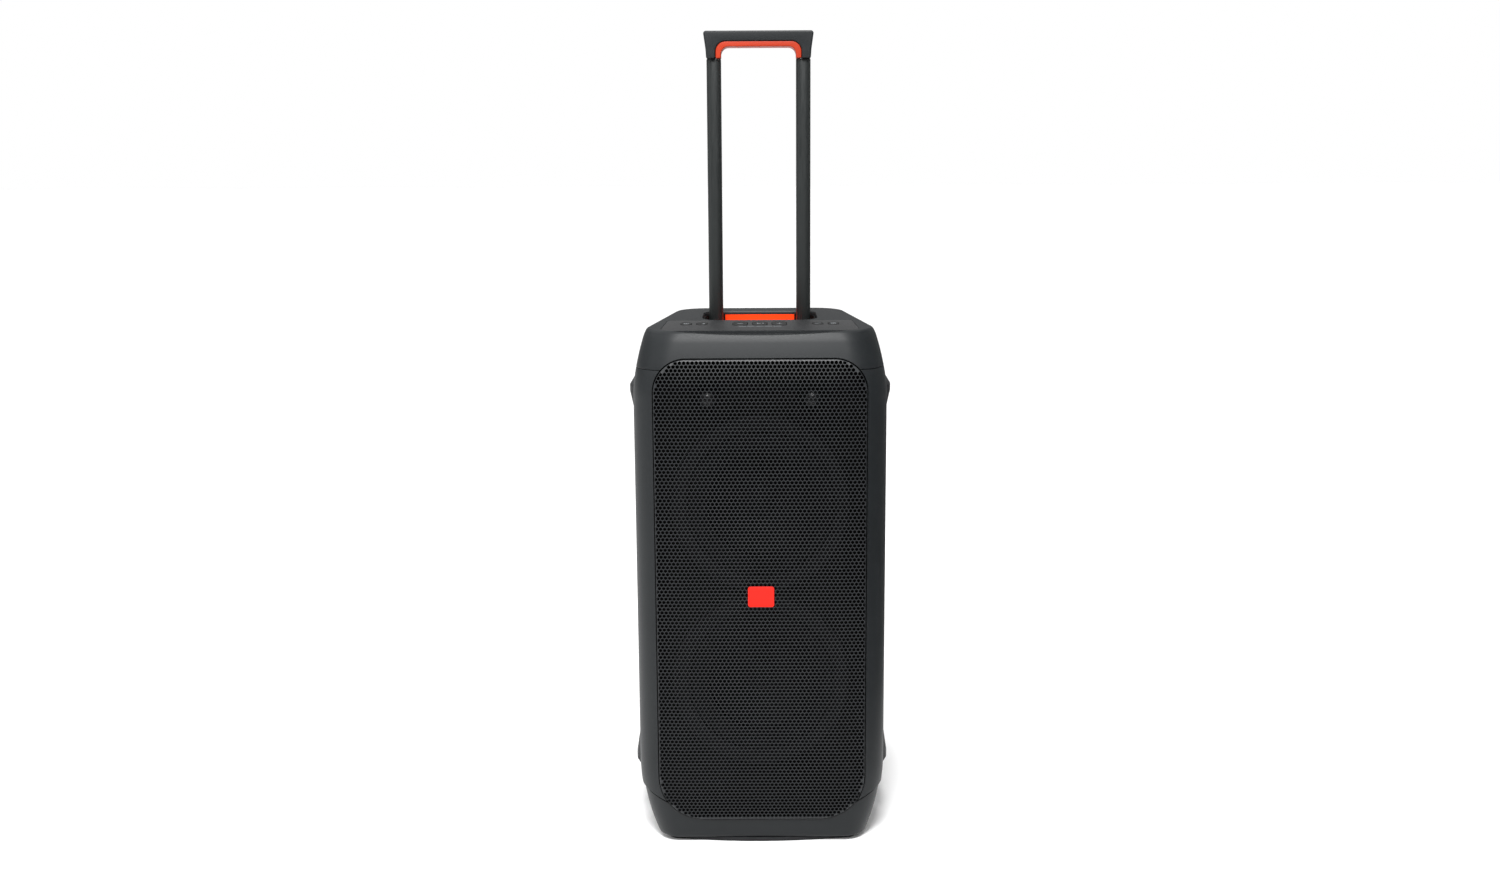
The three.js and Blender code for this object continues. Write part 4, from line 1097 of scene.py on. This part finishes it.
def wheel(name, side):
    """A grooved tyre on a rim with five windows."""
    place = beside(side, WHEEL.x)
    half, radius, rim, bore = WHEEL.width / 2, WHEEL.radius, WHEEL.rim, WHEEL.axle + GAP

    def tread(r, h, angles):
        """Cross grooves over the tyre's shoulders; the groove round its middle is in the profile."""
        radii = np.full(len(angles), float(r))
        if r > radius - 3.2:
            pitch = (angles * 24 / math.pi + (0.5 if h > 0 else 0)) % 1
            radii[(pitch < 0.25) & (abs(h) > 4)] = min(r, radius - 3.0)
        return radii

    tyre = [(rim + 0.3, 1.5 - half), (rim + 4, -half), (radius - 5, -half)]
    tyre += arc((radius - 5, 5 - half), 5, -80, -5, 6)
    tyre += [(radius, -10), (radius, -4.1), (radius, -2.2), (radius - 1.6, -1.6)]
    tyre += [(r, -h) for r, h in reversed(tyre)]
    lathe(name + "_tyre_tread", tyre, "tyre", place, 192, tread, body=name, node=name + "_tyre", sharp=24)

    face = [(bore, 2 - half), (14, 2 - half), (17, 9 - half), (rim - 9, 9 - half), (rim - 5, 2 - half)]
    face += [(rim, 2 - half), (rim, half - 2.6), (rim - 0.6, half - 2), (rim - 4.4, half - 2)]
    face += [(rim - 5.4, half - 3), (rim - 8, half - 7), (17.5, half - 7), (15, half - 4)]
    face += [(14.6, half - 2.4), (13.8, half - 2), (bore, half - 2)]
    window = rounded_rectangle(11, 13.5, 4.5, 0, 25.8)
    turns = [Matrix.Rotation(i * 2 * math.pi / 5, 4, "Z") for i in range(5)]
    windows = [prism(window(), -2 * CUT, 2 * CUT, place @ turn) for turn in turns]
    lathe(name + "_rim_spokes", face, "inner", place, cutters=windows, body=name, node=name + "_rim")


# ---- back


def cover_rings(opening):
    """A flap that fills an opening, less a small gap all round."""
    width, height = (size - 2 * COVER.gap for size in (opening.width, opening.height))
    outline = rounded_rectangle(width, height, opening.corner + 1, 0, opening.z)
    return rounded_stack(outline, 0, COVER.thickness, 0.8, 0.9)


def socket_cover():
    """Rubber flap over the socket bay, with a finger pull and a grooved border."""
    pull = rounded_rectangle(46, 9, 4, 0, BAY.z + BAY.height / 2 - 9)
    border = rounded_rectangle(152, 52, 5, 0, BAY.z - 6)
    groove = prism(border(), 2.4, CUT, ON_COVERS)
    combine(groove, [prism(border(-1.2), 0, 2 * CUT, ON_COVERS)])
    scoop = prism(pull(), 1.4, CUT, ON_COVERS)
    solid("bay_flap", cover_rings(BAY), "rubber", ON_COVERS,
          cutters=[scoop, groove], body="socket_cover", node="socket_cover")


def mains_cover():
    """Rubber flap over the mains inlet, with a slot for a fingernail."""
    pull = rounded_rectangle(16, 4, 1.9, 0, MAINS.z - 10)
    scoop = prism(pull(), 1.6, CUT, ON_COVERS)
    solid("mains_flap", cover_rings(MAINS), "rubber", ON_COVERS,
          cutters=[scoop], body="mains_cover", node="mains_cover")


def gain_knob(body):
    """A fluted knob with a pointer line."""

    def flutes(r, h, angles):
        """Fine ridges round the knob's side."""
        grip = 0.35 * np.cos(angles * 18) if r > 7 and 2 < h < 11.2 else 0.0
        return np.maximum(r + grip, 0)

    place = at(INPUTS[body], BAY.floor, INPUTS["z"], REARWARD)
    profile = [(0, -14), (3, -14), (3, 1), (7.6, 1), (8.1, 2.2), (8.1, 6), (7.9, 10.8)]
    profile += [(7.0, 11.8), (4.5, 12), (4.2, 11.5), (0, 11.4)]
    lathe(body + "_knob_cap", profile, "knob", place, 144, flutes, body=body, node=body + "_knob")
    pointer = rounded_rectangle(1.1, 5.2, 0.5, 0, 4.6)
    solid(body + "_knob_pointer", rounded_stack(pointer, 11.3, 12, 0, 0.1), "ink", place, body=body)


def jack(name):
    """The threaded nut of a 6.35 mm socket."""
    place = at(INPUTS[name], BAY.floor, INPUTS["z"], REARWARD)
    profile = [(3.3, -24), (6, -24), (6, 0.3), (9, 0.3), (9, 2.4), (8.4, 3), (5, 3), (4.2, 2.6), (3.3, 1.6)]
    lathe(name + "_nut", profile, "steel", place, 48, node=name)


def port():
    """The flared bass port."""
    place = at(0, CABINET.back, PORT.z, REARWARD)
    bore, mouth = PORT.bore, PORT.mouth
    outer, inner_end = bore + PORT.wall, -PORT.length
    profile = [(bore, inner_end), (outer, inner_end), (outer, -12), (PORT.throat, -7)]
    profile += [(PORT.throat, GAP), (mouth, GAP), (mouth, 1.5)] + arc((mouth - 0.8, 1.5), 0.8, 0, 90, 3)
    profile += arc((mouth - 1.4, -9.9), 12.2, 92, 172, 12) + [(bore, -16)]
    lathe("bass_port", profile, "inner", place, node="port_tube")


def rear_screws():
    """Low-headed screws with a round recess, in two columns on the back."""
    profile = [(0, -1), (4.2, -1), (4.2, 0.6), (3.6, 1.4), (2.0, 1.5), (2.0, 0.2), (0, 0.2)]
    rows = range(SCREWS.lowest, SCREWS.highest, SCREWS.pitch)
    spots = [(x, z) for z in rows for x in (-SCREWS.x, SCREWS.x)]
    for i, (x, z) in enumerate(spots):
        sunk = SCREWS.sunk if z > UPPER_TAPER["start"] else 0.0
        place = at(x, CABINET.back - sunk, z, REARWARD)
        lathe(f"rear_screw_{i + 1}", profile, "steel", place, 48)


# ---- pieces that keep their CAD shapes

CARRIED = {
    "front_baffle": "baffle", "socket_bay": "inner", "mains_inlet": "inner",
    "guide_tube_left": "inner", "guide_tube_right": "inner",
    "lower_woofer_basket": "basket", "upper_woofer_basket": "basket",
    "lower_woofer_magnet": "magnet", "upper_woofer_magnet": "magnet",
    "amplifier_board": "board", "battery_pack": "battery", "wheel_axle": "steel",
}


def dress_carried_nodes():
    """Gives these CAD pieces their looks."""
    for node, look in CARRIED.items():
        dress(frame["nodes"][node], look)


# ---- studio


def studio():
    """A white sweep, soft lights, and the camera in front of the grille."""
    scene = bpy.context.scene
    scene.world = pale_surroundings()
    scene.view_settings.view_transform = "Standard"

    reach, side, height = 60000, 480, 1300
    upright = [(side, -height, 0), (side, height, 0), (side, height, height), (side, -height, height)]
    card("floor", [(-reach, -reach, 0), (reach, -reach, 0), (reach, reach, 0), (-reach, reach, 0)], 0.97)
    flag = card("flag", upright, 0.25)
    flag.visible_camera = False
    flag.visible_shadow = False

    ceiling = bpy.data.lights.new("ceiling", "SUN")
    ceiling.energy = 3.15
    ceiling.angle = math.radians(120)
    overhead = linked("ceiling", ceiling)
    overhead.rotation_euler = (math.radians(8), math.radians(-6), 0)
    soft_light("key", (-60, -1700, 2500), 700, 95)
    soft_light("side", (-2400, -900, 1200), 1300, 6)

    lens = bpy.data.cameras.new("camera")
    lens.lens = CAMERA.lens
    lens.sensor_width = CAMERA.sensor
    lens.shift_x = CAMERA.shift
    camera = linked("camera", lens)
    tilt, roll = math.radians(90 - CAMERA.down), math.radians(CAMERA.roll)
    turn = Matrix.Rotation(tilt, 4, "X") @ Matrix.Rotation(roll, 4, "Z")
    camera.matrix_world = Matrix.Translation(CAMERA.place) @ turn
    scene.camera = camera


def card(name, corners, grey):
    """A flat matt sheet of the studio: the floor, or the flag that shades the right side."""
    look = bpy.data.materials.new(name)
    look.use_nodes = True
    surface = look.node_tree.nodes["Principled BSDF"]
    surface.inputs["Base Color"].default_value = (grey, grey, grey, 1)
    surface.inputs["Roughness"].default_value = 0.9
    made = as_object(name, corners, [(0, 1, 2, 3)])
    made.data.materials.append(look)
    return made


def pale_surroundings():
    """White to the camera; to everything else a dim room, palest behind and to the left."""
    world = bpy.data.worlds.new("studio")
    world.use_nodes = True
    tree = world.node_tree
    background = tree.nodes["Background"]
    background.inputs["Color"].default_value = (1, 1, 1, 1)
    view = add_node(tree, "TexCoord", {}, "Generated")
    facing = add_node(tree, "VectorMath", {0: view, 1: (-0.5, 0.85, 0)}, "Value", operation="DOT_PRODUCT")
    room = add_node(tree, "MapRange", {"Value": facing, "From Min": -1.0, "To Max": 0.36}, "Result")
    seen = add_node(tree, "LightPath", {}, "Is Camera Ray")
    strength = add_node(tree, "Mix", {"Factor": seen, "A": room, "B": 1.0}, "Result")
    tree.links.new(strength, background.inputs["Strength"])
    return world


def soft_light(name, position, size, power):
    """A square softbox that looks at the middle of the speaker."""
    data = bpy.data.lights.new(name, "AREA")
    data.size = size * MM
    data.energy = power
    lamp = linked(name, data)
    lamp.location = Vector(position) * MM
    aim = Vector((0, 0, 0.45)) - lamp.location
    lamp.rotation_mode = "QUATERNION"
    lamp.rotation_quaternion = aim.to_track_quat("-Z", "Y")


# ---- assembly

bottom_moulding()
main_moulding()
top_moulding()
well_cups()
handle_pocket()
bumpers()
feet()
grille()
badge()
for driver, height in WOOFER_HEIGHTS.items():
    woofer(driver, height)
    light_ring(driver, height)
for name, side in SIDES.items():
    tweeter(name, side)
control_panel()
handle()
for name, side in SIDES.items():
    wheel(name + "_wheel", side)
socket_cover()
mains_cover()
gain_knob("mic_gain")
gain_knob("guitar_gain")
jack("mic_jack")
jack("guitar_jack")
port()
rear_screws()
dress_carried_nodes()
studio()
